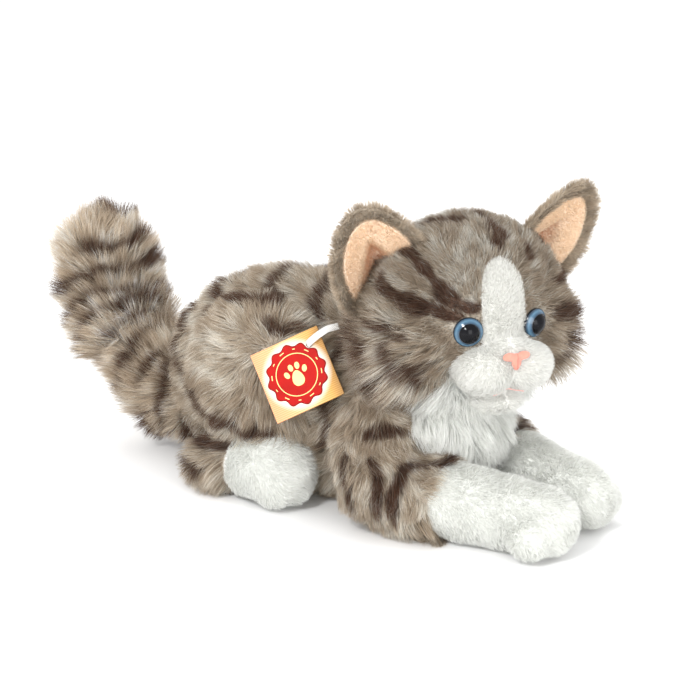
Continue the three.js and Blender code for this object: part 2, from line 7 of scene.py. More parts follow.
import bmesh
import bpy
import numpy as np
from mathutils import Matrix, Vector
from mathutils.bvhtree import BVHTree
from mathutils.kdtree import KDTree
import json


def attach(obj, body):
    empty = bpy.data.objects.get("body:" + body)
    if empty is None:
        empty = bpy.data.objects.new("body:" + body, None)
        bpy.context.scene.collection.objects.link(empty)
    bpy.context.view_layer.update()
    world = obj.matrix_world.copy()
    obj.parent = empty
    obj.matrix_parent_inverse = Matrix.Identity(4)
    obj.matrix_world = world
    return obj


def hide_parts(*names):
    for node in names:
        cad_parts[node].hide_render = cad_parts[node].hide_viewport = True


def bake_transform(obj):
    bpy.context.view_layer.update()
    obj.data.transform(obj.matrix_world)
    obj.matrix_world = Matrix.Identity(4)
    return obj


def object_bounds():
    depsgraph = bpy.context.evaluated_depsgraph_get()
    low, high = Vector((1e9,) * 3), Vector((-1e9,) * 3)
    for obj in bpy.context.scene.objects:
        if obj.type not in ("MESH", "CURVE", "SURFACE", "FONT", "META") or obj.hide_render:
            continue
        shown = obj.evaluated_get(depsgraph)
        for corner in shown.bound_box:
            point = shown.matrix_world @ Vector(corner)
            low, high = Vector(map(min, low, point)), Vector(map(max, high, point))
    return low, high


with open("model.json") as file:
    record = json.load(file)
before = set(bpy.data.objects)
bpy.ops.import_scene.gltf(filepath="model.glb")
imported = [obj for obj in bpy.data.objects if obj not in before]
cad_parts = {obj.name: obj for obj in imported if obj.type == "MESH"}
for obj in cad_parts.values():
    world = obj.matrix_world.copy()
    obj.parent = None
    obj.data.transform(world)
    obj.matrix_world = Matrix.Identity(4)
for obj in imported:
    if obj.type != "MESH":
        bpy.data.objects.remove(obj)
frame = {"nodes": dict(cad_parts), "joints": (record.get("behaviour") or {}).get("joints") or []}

CAD_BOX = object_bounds()
MM = 0.001
SIDES = {"right": -1, "left": 1}
UP = np.array([0.0, 0.0, 1.0])

# ---- Places, from the frame ----

JOINTS = {joint["name"]: joint for joint in frame["joints"]}


def pivot(joint):
    return np.array(JOINTS[joint]["pos_m"], float) / MM


def unit(vectors):
    vectors = np.asarray(vectors, float)
    return vectors / np.maximum(np.linalg.norm(vectors, axis=-1, keepdims=True), 1e-9)


def node_points(*names):
    """The vertices of some CAD nodes, in mm."""
    return np.array([v.co[:] for name in names for v in frame["nodes"][name].data.vertices]) / MM


class Place:
    """An origin with forward, aside and up directions."""

    def __init__(self, origin, forward, aside, up):
        self.origin = np.asarray(origin, float)
        self.rows = np.array([forward, aside, up], float)

    def local(self, points):
        return (np.asarray(points, float) - self.origin) @ self.rows.T

    def world(self, points):
        return np.asarray(points, float) @ self.rows + self.origin

    def box(self, *names):
        """Lowest and highest local corner of some CAD nodes."""
        points = self.local(node_points(*names))
        return points.min(0), points.max(0)

    def matrix(self):
        made = Matrix([list(column) for column in self.rows.T]).to_4x4()
        made.translation = Vector(self.origin * MM)
        return made


HEAD_ASIDE = unit(JOINTS["head_nod"]["axis"])
HEAD_FORWARD = np.cross(HEAD_ASIDE, UP)
HEAD_AHEAD, HEAD_ABOVE = 7, 36  # from the neck's pivot to the middle of the head
HEAD = Place(pivot("head_nod") + HEAD_AHEAD * HEAD_FORWARD + HEAD_ABOVE * UP, HEAD_FORWARD, HEAD_ASIDE, UP)

# ---- Colours, linear ----


def srgb(*levels):
    share = np.array(levels, float) / 255
    return np.where(share <= 0.04045, share / 12.92, ((share + 0.055) / 1.055) ** 2.4)


GREIGE = srgb(187, 174, 156)
GREIGE_LIGHT = srgb(222, 220, 212)
GREIGE_SHADE = srgb(156, 140, 121)
DARK = srgb(86, 59, 43)
WHITE = srgb(241, 242, 239)
FACE_WHITE = srgb(236, 236, 233)
PEACH = srgb(251, 232, 210)
# The next colour is painted shade: a deeper peach for the crease of the ear lining's fold.
PEACH_CREASE_SHADE = srgb(246, 212, 180)
PINK = srgb(216, 138, 120)
CREAM = srgb(248, 226, 150)
RED = srgb(176, 12, 5)

# ---- Smooth functions of place ----


def smooth(share):
    share = np.clip(share, 0, 1)
    return share * share * (3 - 2 * share)


def ripple(points, size, seed=0, waves=7):
    """Smooth noise from -1 to 1 with features about that size."""
    rng = np.random.default_rng(1000 + seed)
    directions = unit(rng.normal(size=(waves, 3))) * (2 * math.pi / size)
    directions *= rng.uniform(0.6, 1.5, (waves, 1))
    phases = rng.uniform(0, 2 * math.pi, waves)
    return np.clip(np.sin(points @ directions.T + phases).sum(1) / math.sqrt(waves), -1, 1)


FAR = 1e9
PATH_REACH = 15  # a path colours only points that lie within this depth of it
DEPTH_LEFT_OUT = 0.93  # how much of that depth is left out of the distance


def to_path(points, normals, path):
    """Distance over the surface from each point to a path of straight stretches. Depth hardly counts."""
    path = np.asarray(path, float)
    nearest = np.full(len(points), FAR)
    for start, end in zip(path[:-1], path[1:]):
        run = end - start
        share = np.clip((points - start) @ run / (run @ run), 0, 1)
        off = points - start - share[:, None] * run
        deep = (off * normals).sum(1)
        level = np.sqrt((off**2).sum(1) - DEPTH_LEFT_OUT * deep**2)
        nearest = np.minimum(nearest, np.where(np.abs(deep) < PATH_REACH, level, FAR))
    return nearest


def swirl(points, size, seed):
    """A smoothly wandering vector for each point."""
    return np.stack([ripple(points, size, seed + k) for k in range(3)], 1)


WANDER, WANDER_SIZE = 2.8, 34  # how far a stripe leaves its path, and over what length, in mm
UNEVEN, UNEVEN_SIZE = 0.32, 19  # the share its width varies by, and over what length
STRIPE_CORE, STRIPE_EDGE = 0.55, 0.75  # where it starts to fade and over how far, in half widths
FAINT, FAINT_SIZE = 0.1, 9  # how much fainter it is in places, and how large they are


def stripes(points, normals, paths, seed):
    """How dark the coat is, from 0 to 1: each path is (half width, points)."""
    wobble = points + WANDER * swirl(points, WANDER_SIZE, seed)
    width_share = 1 + UNEVEN * ripple(points, UNEVEN_SIZE, seed + 5)
    dark = np.zeros(len(points))
    for half, path in paths:
        width = half * width_share
        past = to_path(wobble, normals, path) - width * STRIPE_CORE
        dark = np.maximum(dark, 1 - smooth(past / (width * STRIPE_EDGE)))
    return dark * (1 - FAINT + FAINT * ripple(points, FAINT_SIZE, seed + 7))


# The tabby pattern. Body stripes are for the right side, (x, -y, z), and the left repeats
# them. Head stripes are (forward, aside, up) in the head's own place.
BACK_STRIPES = [
    (3.6, [(-50, 0, 112), (-60, -12, 104), (-50, -24, 104), (-30, -34, 108)]),
    (4.2, [(-20, 0, 122), (-14, -22, 115), (-4, -36, 106)]),
    (3.6, [(-2, 8, 122), (10, 0, 120), (18, -16, 116), (24, -30, 104), (26, -42, 84)]),
    (3.4, [(34, 0, 112), (40, -22, 102), (42, -36, 88)]),
    (4, [(-75, 0, 96), (-76, -15, 92), (-80, -20, 84)]),
    (3.4, [(-92, 0, 72), (-92, -20, 50), (-84, -24, 36), (-76, -24, 26)]),
    (3.2, [(37, -40, 72), (37, -42, 56), (36, -42, 36), (40, -40, 14)]),
    (4, [(-60, -20, 14), (-20, -34, 10), (24, -36, 12)]),
]
HAUNCH_STRIPES = [
    (5, [(-80, -20, 84), (-76, -30, 70), (-66, -38, 60), (-50, -48, 56), (-36, -55, 54), (-20, -58, 48),
         (-6, -58, 44), (8, -56, 46)]),
    (4, [(-84, -24, 38), (-72, -28, 28), (-54, -38, 28), (-34, -52, 30), (-18, -58, 34)]),
    (4.2, [(-52, -28, 100), (-34, -36, 108), (-18, -40, 110), (0, -40, 110)]),
    (3.4, [(4, -48, 102), (18, -42, 100), (28, -40, 92)]),
    (4, [(-48, -50, 14), (-36, -58, 16)]),
    (3.4, [(22, -52, 88), (30, -50, 70), (26, -54, 56)]),
]
FORE_STRIPES = [
    (4.6, [(76, -60, 60), (84, -56, 60), (94, -44, 56)]),
    (4, [(86, -64, 46), (90, -66, 28), (86, -66, 8)]),
    (3.6, [(98, -56, 44), (96, -62, 32), (96, -63, 20), (100, -62, 6)]),
    (3.4, [(100, -54, 44), (108, -48, 43), (114, -40, 44), (112, -24, 44)]),
    (3.4, [(66, -64, 48), (70, -68, 34), (70, -66, 12)]),
]
HEAD_STRIPES = [
    (4.2, [(-14, -36, 42), (2, -40, 34), (20, -38, 26), (30, -30, 19), (36, -20, 12)]),
    (3.8, [(-8, -52, 24), (4, -50, 14), (18, -46, 10), (30, -34, 10), (36, -25, 7)]),
    (2.2, [(0, -52, 0), (16, -48, -1), (24, -44, -3)]),
    (3.4, [(-14, -22, 46), (4, -14, 48), (8, -6, 49)]),
    (3.2, [(-4, 6, 50), (14, 8, 48), (24, 10, 42), (28, 4, 38)]),
    (2.6, [(26, 19, 34), (30, 18, 28)]),
    (3.2, [(-12, 30, 42), (2, 34, 36), (8, 36, 32)]),
    (3.2, [(2, 50, 14), (18, 44, 12), (26, 38, 12)]),
    (4, [(10, 50, -4), (22, 44, -6), (30, 36, -4)]),
    (4.4, [(12, 50, -16), (20, 44, -22), (24, 38, -26)]),
    (5, [(22, -40, -18), (22, -38, -28)]),
    (4.8, [(12, -48, -8), (10, -46, -20)]),
    (4, [(-12, -50, -6), (-8, -50, -24), (0, -44, -38)]),
    (3.2, [(-4, -52, -6), (0, -48, -24), (8, -40, -36)]),
    (4, [(-34, -30, 20), (-24, -46, 8), (-16, -50, -10)]),
    (4, [(-34, 30, 20), (-24, 46, 8), (-16, 50, -10)]),
    (4, [(-30, -16, 34), (-38, 0, 26), (-30, 16, 34)]),
    (4, [(-38, -22, -4), (-42, 0, 2), (-38, 22, -4)]),
]
TAIL_PITCH = 15.5  # from one dark ring of the tail to the next
TAIL_RING, TAIL_RING_EDGE = 1.5, 2.6  # a ring's half width, and how far its edge fades
TAIL_DRIFT, TAIL_DRIFT_SIZE = 4.5, 40  # how far a ring strays along the tail, and over what length
TAIL_PATCHY, TAIL_PATCH_SIZE = 0.9, 30  # how much the rings come and go, and over what length


def body_stripes(points, normals):
    """The body's stripes are given for the right side, so points on the left are brought over to it."""
    over = np.column_stack([np.ones(len(points)), -np.sign(points[:, 1]), np.ones(len(points))])
    return stripes(points * over, normals * over, BACK_STRIPES + HAUNCH_STRIPES + FORE_STRIPES, 1)


def head_stripes(points, normals):
    return stripes(HEAD.local(points), normals @ HEAD.rows.T, HEAD_STRIPES, 2)


def tail_stripes(points, _normals):
    along = tail_along(points) + TAIL_DRIFT * ripple(points, TAIL_DRIFT_SIZE, 3)
    off = np.abs((along / TAIL_PITCH) % 1 - 0.5) * TAIL_PITCH
    band = 1 - smooth((off - TAIL_RING) / TAIL_RING_EDGE)
    patchy = smooth(1 + TAIL_PATCHY * ripple(points, TAIL_PATCH_SIZE, 4))
    return band * patchy


# ---- The tail's line ----

TAIL_PATH = np.array([(-70, 0, 38), (-104, 0, 38), (-124, 1, 50), (-149, 4, 72), (-164, 8, 105),
                      (-168, 9, 128)])


def tail_nearest(points):
    """For each point, how far along the tail it is and the tail's direction there."""
    best = np.full(len(points), FAR)
    along = np.zeros(len(points))
    heading = np.zeros((len(points), 3))
    done = 0.0
    for start, end in zip(TAIL_PATH[:-1], TAIL_PATH[1:]):
        run = end - start
        length = np.linalg.norm(run)
        share = np.clip((points - start) @ run / length**2, 0, 1)
        off = np.linalg.norm(points - start - share[:, None] * run, axis=1)
        closer = off < best
        best = np.where(closer, off, best)
        along = np.where(closer, done + share * length, along)
        heading = np.where(closer[:, None], run / length, heading)
        done += length
    return along, heading


def tail_along(points):
    return tail_nearest(points)[0]


# ---- Meshes ----


def link(mesh, name):
    piece = bpy.data.objects.new(name, mesh)
    bpy.context.scene.collection.objects.link(piece)
    return piece


def coordinates(mesh):
    flat = np.empty(len(mesh.vertices) * 3, np.float32)
    mesh.vertices.foreach_get("co", flat)
    return flat.reshape(-1, 3).astype(float) / MM


def set_coordinates(mesh, points):
    mesh.vertices.foreach_set("co", (np.asarray(points) * MM).astype(np.float32).ravel())
    mesh.update()


def vertex_normals(mesh):
    flat = np.empty(len(mesh.vertices) * 3, np.float32)
    mesh.vertex_normals.foreach_get("vector", flat)
    return flat.reshape(-1, 3).astype(float)


def mesh_from(name, points, faces):
    mesh = bpy.data.meshes.new(name)
    mesh.from_pydata([tuple(p) for p in np.asarray(points) * MM], [], faces)
    mesh.update()
    mesh.shade_smooth()
    return mesh


def remeshed(piece, voxel, rounds):
    """One closed skin round everything in the piece, smoothed."""
    remesh = piece.modifiers.new("skin", "REMESH")
    remesh.mode = "VOXEL"
    remesh.voxel_size = voxel * MM
    smoothing = piece.modifiers.new("smoothing", "SMOOTH")
    smoothing.factor = 0.5
    smoothing.iterations = rounds
    graph = bpy.context.evaluated_depsgraph_get()
    made = bpy.data.meshes.new_from_object(piece.evaluated_get(graph))
    made.shade_smooth()
    piece.modifiers.clear()
    old, piece.data = piece.data, made
    bpy.data.meshes.remove(old)
    return piece


def mesh_of(name, fill):
    """A mesh of what fill adds."""
    bm = bmesh.new()
    fill(bm)
    mesh = bpy.data.meshes.new(name)
    bm.to_mesh(mesh)
    bm.free()
    return mesh


def welded(mesh, gap):
    """Joins points closer than the gap, in mm, and turns every face outwards."""
    bm = bmesh.new()
    bm.from_mesh(mesh)
    bmesh.ops.remove_doubles(bm, verts=bm.verts, dist=gap * MM)
    bmesh.ops.recalc_face_normals(bm, faces=bm.faces)
    bm.to_mesh(mesh)
    bm.free()
    mesh.shade_smooth()
    return mesh


def circle(around):
    """The cosine and sine of each step round a circle."""
    angles = [2 * math.pi * k / around for k in range(around)]
    return [(math.cos(angle), math.sin(angle)) for angle in angles]


def ring_faces(rings, around):
    """The faces between rings of points that follow each other."""
    faces = []
    for low in range(0, (rings - 1) * around, around):
        for k in range(around):
            after, high = low + (k + 1) % around, low + around
            faces.append((low + k, after, after + around, high + k))
    return faces


def hull_of(bm, points):
    """Adds the convex hull of some points, in mm."""
    verts = [bm.verts.new(tuple(p)) for p in np.asarray(points) * MM]
    made = bmesh.ops.convex_hull(bm, input=verts)
    loose = [e for e in made["geom_interior"] + made["geom_unused"] if isinstance(e, bmesh.types.BMVert)]
    bmesh.ops.delete(bm, geom=list(set(loose)), context="VERTS")


def ball_in(bm, centre, radii, place, detail=4):
    """Adds an ellipsoid given in a place's own directions."""
    made = bmesh.ops.create_icosphere(bm, subdivisions=detail, radius=1)
    for vert in made["verts"]:
        local = np.array(vert.co) * radii + centre
        vert.co = Vector(place.world(local) * MM)


def nodes_in(bm, *names):
    for name in names:
        bm.from_mesh(frame["nodes"][name].data)


def new_skin(name, fill, voxel=3.0, rounds=14, inset=3.0, floor=1.6):
    """A sewn skin: what fill adds, as one smooth closed surface, moved in to leave room for the fur."""
    piece = remeshed(link(mesh_of(name, fill), name), voxel, rounds)
    points = coordinates(piece.data) - inset * vertex_normals(piece.data)
    points[:, 2] = np.maximum(points[:, 2], floor)
    set_coordinates(piece.data, points)
    return piece


def swell(piece, cap=2.5, frames=20):
    """Lets the filling press the sewn skin out with Cloth, moving no point further than cap."""
    rest = coordinates(piece.data)
    cloth = piece.modifiers.new("filling", "CLOTH")
    cloth.settings.use_pressure = True
    cloth.settings.uniform_pressure_force = 4
    cloth.settings.effector_weights.gravity = 0
    cloth.settings.quality = 4
    cloth.point_cache.frame_end = frames
    for step in range(1, frames + 1):
        bpy.context.scene.frame_set(step)
    graph = bpy.context.evaluated_depsgraph_get()
    after = coordinates(piece.evaluated_get(graph).data)
    piece.modifiers.clear()
    bpy.context.scene.frame_set(1)
    move = after - rest
    far = np.linalg.norm(move, axis=1, keepdims=True)
    move *= np.minimum(1, cap / np.maximum(far, 1e-9))
    moved = rest + move
    moved[:, 2] = np.maximum(moved[:, 2], rest[:, 2].min())
    set_coordinates(piece.data, moved)


# ---- Node materials ----


def new_material(name):
    material = bpy.data.materials.new(name)
    material.use_nodes = True
    tree = material.node_tree
    return material, tree, tree.nodes["Principled BSDF"]


def feed(tree, made, inputs):
    """Links or sets the inputs of a node."""
    for key, value in inputs.items():
        if isinstance(value, bpy.types.NodeSocket):
            tree.links.new(value, made.inputs[key])
        else:
            made.inputs[key].default_value = value
    return made


def node(tree, kind, inputs=None, **settings):
    made = tree.nodes.new(kind)
    for key, value in settings.items():
        setattr(made, key, value)
    return feed(tree, made, inputs or {})


def mixed(tree, kind, share, first, second):
    """A colour mix of two sockets or colours."""
    made = node(tree, "ShaderNodeMix", {0: share, 6: first, 7: second}, data_type="RGBA", blend_type=kind)
    return made.outputs[2]


def ramp(tree, factor, stops):
    """Runs a factor through (position, linear colour) stops."""
    made = node(tree, "ShaderNodeValToRGB", {"Fac": factor})
    elements = made.color_ramp.elements
    while len(elements) < len(stops):
        elements.new(0.5)
    for element, (position, colour) in zip(elements, stops):
        element.position = position
        element.color = (*[float(c) for c in colour], 1.0)
    return made.outputs["Color"]


def own_place(tree):
    return node(tree, "ShaderNodeTexCoord").outputs["Object"]


def noise(tree, scale, detail):
    """Noise that stays with the object as it moves."""
    inputs = {"Vector": own_place(tree), "Scale": scale, "Detail": detail}
    return node(tree, "ShaderNodeTexNoise", inputs).outputs["Fac"]


def bump(tree, height, strength, distance):
    """A bumpy normal. The distance is in mm."""
    inputs = {"Height": height, "Strength": strength, "Distance": distance * MM}
    return node(tree, "ShaderNodeBump", inputs).outputs["Normal"]


def maths(tree, operation, first, second=0.0):
    return node(tree, "ShaderNodeMath", {0: first, 1: second}, operation=operation).outputs[0]


UNCHANGED = (1.0, 1.0, 1.0)  # multiplies a colour by one


def mottled(name, scale, detail, stops, inputs):
    """A material whose colour follows noise through the stops."""
    material, tree, shader = new_material(name)
    feed(tree, shader, {"Base Color": ramp(tree, noise(tree, scale, detail), stops), **inputs})
    return material


def painted(tree, scale, detail, stops):
    """The coat's colour, stored on the mesh, with a fine variation."""
    own = node(tree, "ShaderNodeAttribute", attribute_name="Coat").outputs["Color"]
    return mixed(tree, "MULTIPLY", 1.0, own, ramp(tree, noise(tree, scale, detail), stops))


def fur_material():
    """Strands with a fine streaky variation, which let some light through."""
    material, tree, shader = new_material("plush_pile")
    colour = painted(tree, 900, 3, [(0.3, (0.92, 0.915, 0.91)), (0.7, UNCHANGED)])
    feed(tree, shader, {"Base Color": colour, "Roughness": 0.62, "Specular IOR Level": 0.25,
                        "Sheen Weight": 0.25, "Sheen Roughness": 0.4})
    through = node(tree, "ShaderNodeBsdfTranslucent", {"Color": colour})
    both = node(tree, "ShaderNodeMixShader", {0: 0.48, 1: shader.outputs[0], 2: through.outputs[0]})
    tree.links.new(both.outputs[0], tree.nodes["Material Output"].inputs["Surface"])
    return material


def skin_material():
    """The knitted backing under the fur: the coat's colour over a fine knit."""
    material, tree, shader = new_material("knitted_backing")
    knit = node(tree, "ShaderNodeTexVoronoi", {"Vector": own_place(tree), "Scale": 1100}).outputs["Distance"]
    feed(tree, shader, {"Base Color": painted(tree, 700, 4, [(0.25, (0.84, 0.835, 0.83)), (0.75, UNCHANGED)]),
                        "Normal": bump(tree, knit, 0.5, 0.4), "Roughness": 0.9})
    return material


# ---- Strands ----

FUR = fur_material()
SKIN = skin_material()


def paint(mesh, colours):
    """Stores one linear colour for each vertex."""
    layer = mesh.attributes.get("Coat") or mesh.attributes.new("Coat", "FLOAT_COLOR", "POINT")
    opaque = np.column_stack([colours, np.ones(len(colours))])
    layer.data.foreach_set("color", opaque.astype(np.float32).ravel())


def scatter(piece, density, rng):
    """Random roots on a skin, so many for each square mm, with their normals."""
    mesh = piece.data
    mesh.calc_loop_triangles()
    corners = np.empty(len(mesh.loop_triangles) * 3, np.int32)
    mesh.loop_triangles.foreach_get("vertices", corners)
    corners = corners.reshape(-1, 3)
    points, normals = coordinates(mesh), vertex_normals(mesh)
    a, b, c = (points[corners[:, k]] for k in range(3))
    areas = np.linalg.norm(np.cross(b - a, c - a), axis=1) / 2
    count = int(areas.sum() * density)
    picked = rng.choice(len(areas), count, p=areas / areas.sum())
    u, v = rng.random(count), rng.random(count)
    over = u + v > 1
    u[over], v[over] = 1 - u[over], 1 - v[over]
    shares = np.stack([1 - u - v, u, v], 1)[:, :, None]
    roots = (points[corners[picked]] * shares).sum(1)
    return roots, unit((normals[corners[picked]] * shares).sum(1))


def tree_of(piece):
    """A search tree of a piece's surface, in metres."""
    bm = bmesh.new()
    bm.from_mesh(piece.data)
    made = BVHTree.FromBMesh(bm)
    bm.free()
    return made


def buried(points, skins, depth=2.5):
    """True for points that lie further than depth inside another skin."""
    inside = np.zeros(len(points), bool)
    for skin in skins:
        own = coordinates(skin.data)
        near = np.all((points > own.min(0)) & (points < own.max(0)), axis=1) & ~inside
        tree = tree_of(skin)
        for index in np.nonzero(near)[0]:
            where = Vector(points[index] * MM)
            place, normal, _, distance = tree.find_nearest(where)
            if distance > depth * MM and (where - place).dot(normal) < 0:
                inside[index] = True
    return inside


def nearest_node(points, *names):
    """The index, among some CAD nodes, of the one whose surface is nearest to each point."""
    trees = [tree_of(frame["nodes"][name]) for name in names]
    places = [Vector(p * MM) for p in points]
    distances = [[tree.find_nearest(place)[3] for place in places] for tree in trees]
    return np.argmin(np.array(distances), axis=0)


def lay(roots, normals, flow, length, rise, droop, joints):
    """The strands' points: each leaves its root at rise[0] degrees from the skin and ends at rise[1]."""
    along = unit(flow - (flow * normals).sum(1, keepdims=True) * normals)
    points = [roots]
    for step in range(joints - 1):
        share = (step + 0.5) / (joints - 1)
        angle = np.radians(rise[0] + (rise[1] - rise[0]) * share)[:, None]
        heading = np.cos(angle) * along + np.sin(angle) * normals
        heading = unit(heading - droop * share * UP)
        points.append(points[-1] + heading * (length / (joints - 1))[:, None])
    return np.stack(points, 1)


TAPERS = {3: (1.0, 0.8, 0.0), 4: (1.0, 0.95, 0.7, 0.0)}  # a strand's width at each of its joints
TWIST = 0.45  # how far strands face away from the skin's outward direction


def bake_spots(count, joints):
    """Where each strand's points lie in a picture: every strand has its own small square."""
    cells = math.ceil(math.sqrt(count))
    cell = np.stack([np.arange(count) % cells, np.arange(count) // cells], 1)[:, None, :]
    across = np.array([0.1, 0.9] * (joints - 1) + [0.5])
    upwards = np.append(np.repeat(np.linspace(0.1, 0.8, joints - 1), 2), 0.9)
    return ((cell + np.stack([across, upwards], 1)[None]) / cells).reshape(-1, 2)


def paired(values):
    """Each strand's values, twice for every joint but its last: the two edges, then the tip."""
    return np.concatenate([np.repeat(values[:, :-1], 2, axis=1), values[:, -1:]], 1)


def ribbons(name, strands, normals, colours, width, rng):
    """One mesh of tapered flat strands that face outwards, with a colour at each joint."""
    count, joints, _ = strands.shape
    tangents = np.gradient(strands, axis=1)
    facing = unit(normals + TWIST * rng.normal(size=normals.shape))[:, None, :]
    half = width[:, None, None] * np.array(TAPERS[joints])[None, :, None] / 2
    aside = unit(np.cross(tangents, facing)) * half
    edges = np.stack([strands - aside, strands + aside], 2)[:, :-1].reshape(count, -1, 3)
    points = np.concatenate([edges, strands[:, -1:]], 1)
    each = points.shape[1]
    faces = [[2 * k, 2 * k + 1, 2 * k + 3, 2 * k + 2] for k in range(joints - 2)]
    faces.append([each - 3, each - 2, each - 1])
    corners = np.concatenate(faces)
    loops = (np.arange(count)[:, None] * each + corners[None]).ravel()
    sizes = np.array([len(face) for face in faces])
    starts = (np.arange(count)[:, None] * len(corners) + (np.cumsum(sizes) - sizes)[None]).ravel()
    mesh = bpy.data.meshes.new(name)
    mesh.vertices.add(count * each)
    mesh.vertices.foreach_set("co", (points * MM).astype(np.float32).ravel())
    mesh.loops.add(len(loops))
    mesh.loops.foreach_set("vertex_index", loops.astype(np.int32))
    mesh.polygons.add(len(starts))
    mesh.polygons.foreach_set("loop_start", starts.astype(np.int32))
    mesh.update(calc_edges=True)
    mesh.shade_smooth()
    paint(mesh, paired(colours).reshape(-1, 3))
    layer = mesh.uv_layers.new(name="OFBake")
    layer.data.foreach_set("uv", bake_spots(count, joints)[loops].astype(np.float32).ravel())
    mesh.materials.append(FUR)
    return link(mesh, name)


PRINT_DEPTH = 0.6  # how far a strand's colour follows its own place rather than its root's
TIP_SHADE = 1.1  # how bright a strand's tip is, where the colour it is given is 1
BRIGHTEST = 0.985
STRAND_FLOOR = 0.25  # no strand goes lower than this above the floor


@dataclass
class Coat:
    """How the fur of one region grows. The first three are functions of its points."""

    flow: object
    length: object
    tone: object
    rise: tuple  # its angle to the skin at the root and at the tip, in degrees
    density: float  # strands to a square mm
    width: float = 0.24  # of a strand, in mm
    droop: float = 0.15  # how much it hangs
    tuft: float = 7  # the size of a tuft, in mm
    pull: float = 0.5  # how far strands lean into their tuft
    ruffle: float = 9  # how untidy they are, in degrees
    joints: int = 4  # how many points a strand has
    root: float = 0.8  # how bright a strand is at its root, with painted shade deep in the pile


def tufted(strands, guides, roots, centres, pull):
    """Draws strands together into tufts, each strand towards the guide that grows nearest to it."""
    kd = KDTree(len(centres))
    for index, centre in enumerate(centres):
        kd.insert(roots[centre], index)
    kd.balance()
    mine = np.array([kd.find(root)[1] for root in roots])
    share = np.linspace(0, 1, strands.shape[1])[None, :, None] ** 1.4
    return strands + (guides[mine] - strands) * share * pull[:, None, None]


SWIRL, SWIRL_SIZE = 0.45, 26  # how far the nap strays from its flow, and over what length, in mm
TILT, TILT_SIZE = 0.25, 17  # the share its rise varies by, and over what length
GUIDE_STRAY = 0.3  # how far a tuft's guide strays from the nap
RUFFLE_ASIDE, RUFFLE_UP = 1.6, 0.6  # how much of the ruffle goes sideways, and how much into the rise
LENGTHS, WIDTHS, PULLS = (0.72, 1.12), (0.7, 1.25), (0.4, 1.25)  # what single strands have, as shares


def combed(roots, normals, coat, seed, rng):
    """The strands' points, along the coat's flow with swirls and loose ends."""
    count = len(roots)
    length = coat.length(roots)
    flow = unit(coat.flow(roots)) + SWIRL * swirl(roots, SWIRL_SIZE, seed)
    tilt = 1 + TILT * ripple(roots, TILT_SIZE, seed + 9)
    rise = [np.clip(angle * tilt, 2, 85) for angle in coat.rise]
    centres = rng.choice(count, max(1, int(count / (coat.density * coat.tuft**2))), replace=False)
    loose_flow = flow[centres] + GUIDE_STRAY * rng.normal(size=(len(centres), 3))
    guides = lay(roots[centres], normals[centres], loose_flow, length[centres],
                 [angle[centres] for angle in rise], coat.droop, coat.joints)
    own_flow = flow + math.radians(coat.ruffle) * RUFFLE_ASIDE * rng.normal(size=roots.shape)
    own_rise = [angle + rng.normal(0, coat.ruffle * RUFFLE_UP, count) for angle in rise]
    own_length = length * rng.uniform(*LENGTHS, count)
    strands = lay(roots, normals, own_flow, own_length, own_rise, coat.droop, coat.joints)
    pull = coat.pull * rng.uniform(*PULLS, count)
    strands = tufted(strands, guides, roots, centres, pull)
    strands[:, :, 2] = np.maximum(strands[:, :, 2], STRAND_FLOOR)
    return strands


def coloured(strands, roots, normals, coat, rng):
    """A colour for each of the strands' joints: deeper at the root with painted shade, and the print runs
    over the pile.
    """
    grain = np.repeat(rng.normal(size=(len(roots), 2)), coat.joints, axis=0)
    over = strands - roots[:, None]
    over -= (over * normals[:, None]).sum(2, keepdims=True) * normals[:, None]
    printed_at = (roots[:, None] + PRINT_DEPTH * over).reshape(-1, 3)
    outwards = np.repeat(normals, coat.joints, axis=0)
    colours = coat.tone(printed_at, outwards, grain).reshape(strands.shape)
    # Painted shade: each strand is darkened from its tip down to its root, where shade falls in the pile.
    steps = np.linspace(0, 1, coat.joints)[None, :, None]
    return np.clip(colours * (coat.root + (TIP_SHADE - coat.root) * steps), 0, BRIGHTEST)


def grow(name, skin, coat, seed, where=None, hidden_by=()):
    """Grows a coat on the part of a skin that where picks, but not deep inside the skins in hidden_by."""
    rng = np.random.default_rng(seed)
    roots, normals = scatter(skin, coat.density, rng)
    if where is not None:
        picked = where(roots)
        roots, normals = roots[picked], normals[picked]
    if hidden_by:
        clear = ~buried(roots, hidden_by)
        roots, normals = roots[clear], normals[clear]
    strands = combed(roots, normals, coat, seed, rng)
    colours = coloured(strands, roots, normals, coat, rng)
    width = coat.width * rng.uniform(*WIDTHS, len(roots))
    return ribbons(name, strands, normals, colours, width, rng)


def even(value):
    return lambda points: np.full(len(points), float(value))


TUFT_PATCH, BROAD_PATCH = 11, 48  # the sizes of the greige coat's paler and deeper patches, in mm


def tabby(dark_of, light_of=even(1)):
    """Greige fur in lighter and darker tufts, crossed by a pattern of dark brown."""

    def tone(points, normals, grain):
        tuft = 0.5 + 0.5 * ripple(points, TUFT_PATCH, 21)
        broad = 0.5 + 0.5 * ripple(points, BROAD_PATCH, 22)
        light = np.clip(0.5 * tuft + 0.4 * broad + 0.24 * grain[:, 0], 0, 1)[:, None]
        coat = np.where(light < 0.5, GREIGE_SHADE + (GREIGE - GREIGE_SHADE) * light * 2,
                        GREIGE + (GREIGE_LIGHT - GREIGE) * (light * 2 - 1))
        coat = np.minimum(coat * light_of(points)[:, None], 0.9)
        dark = np.clip(dark_of(points, normals) + 0.19 * grain[:, 1], 0, 1)[:, None]
        return coat + (DARK * (0.75 + 0.5 * light) - coat) * smooth(dark)

    return tone


def plain(colour, spread=0.03):
    return lambda points, normals, grain: np.clip(colour * (1 + spread * grain[:, :1]), 0, 1)


# ---- Skins ----

EYES = {}
for word in SIDES:
    lens = node_points(f"pupil_{word}").mean(0)
    washer = node_points(f"eye_washer_{word}").mean(0)
    EYES[word] = (lens, unit(lens - washer))

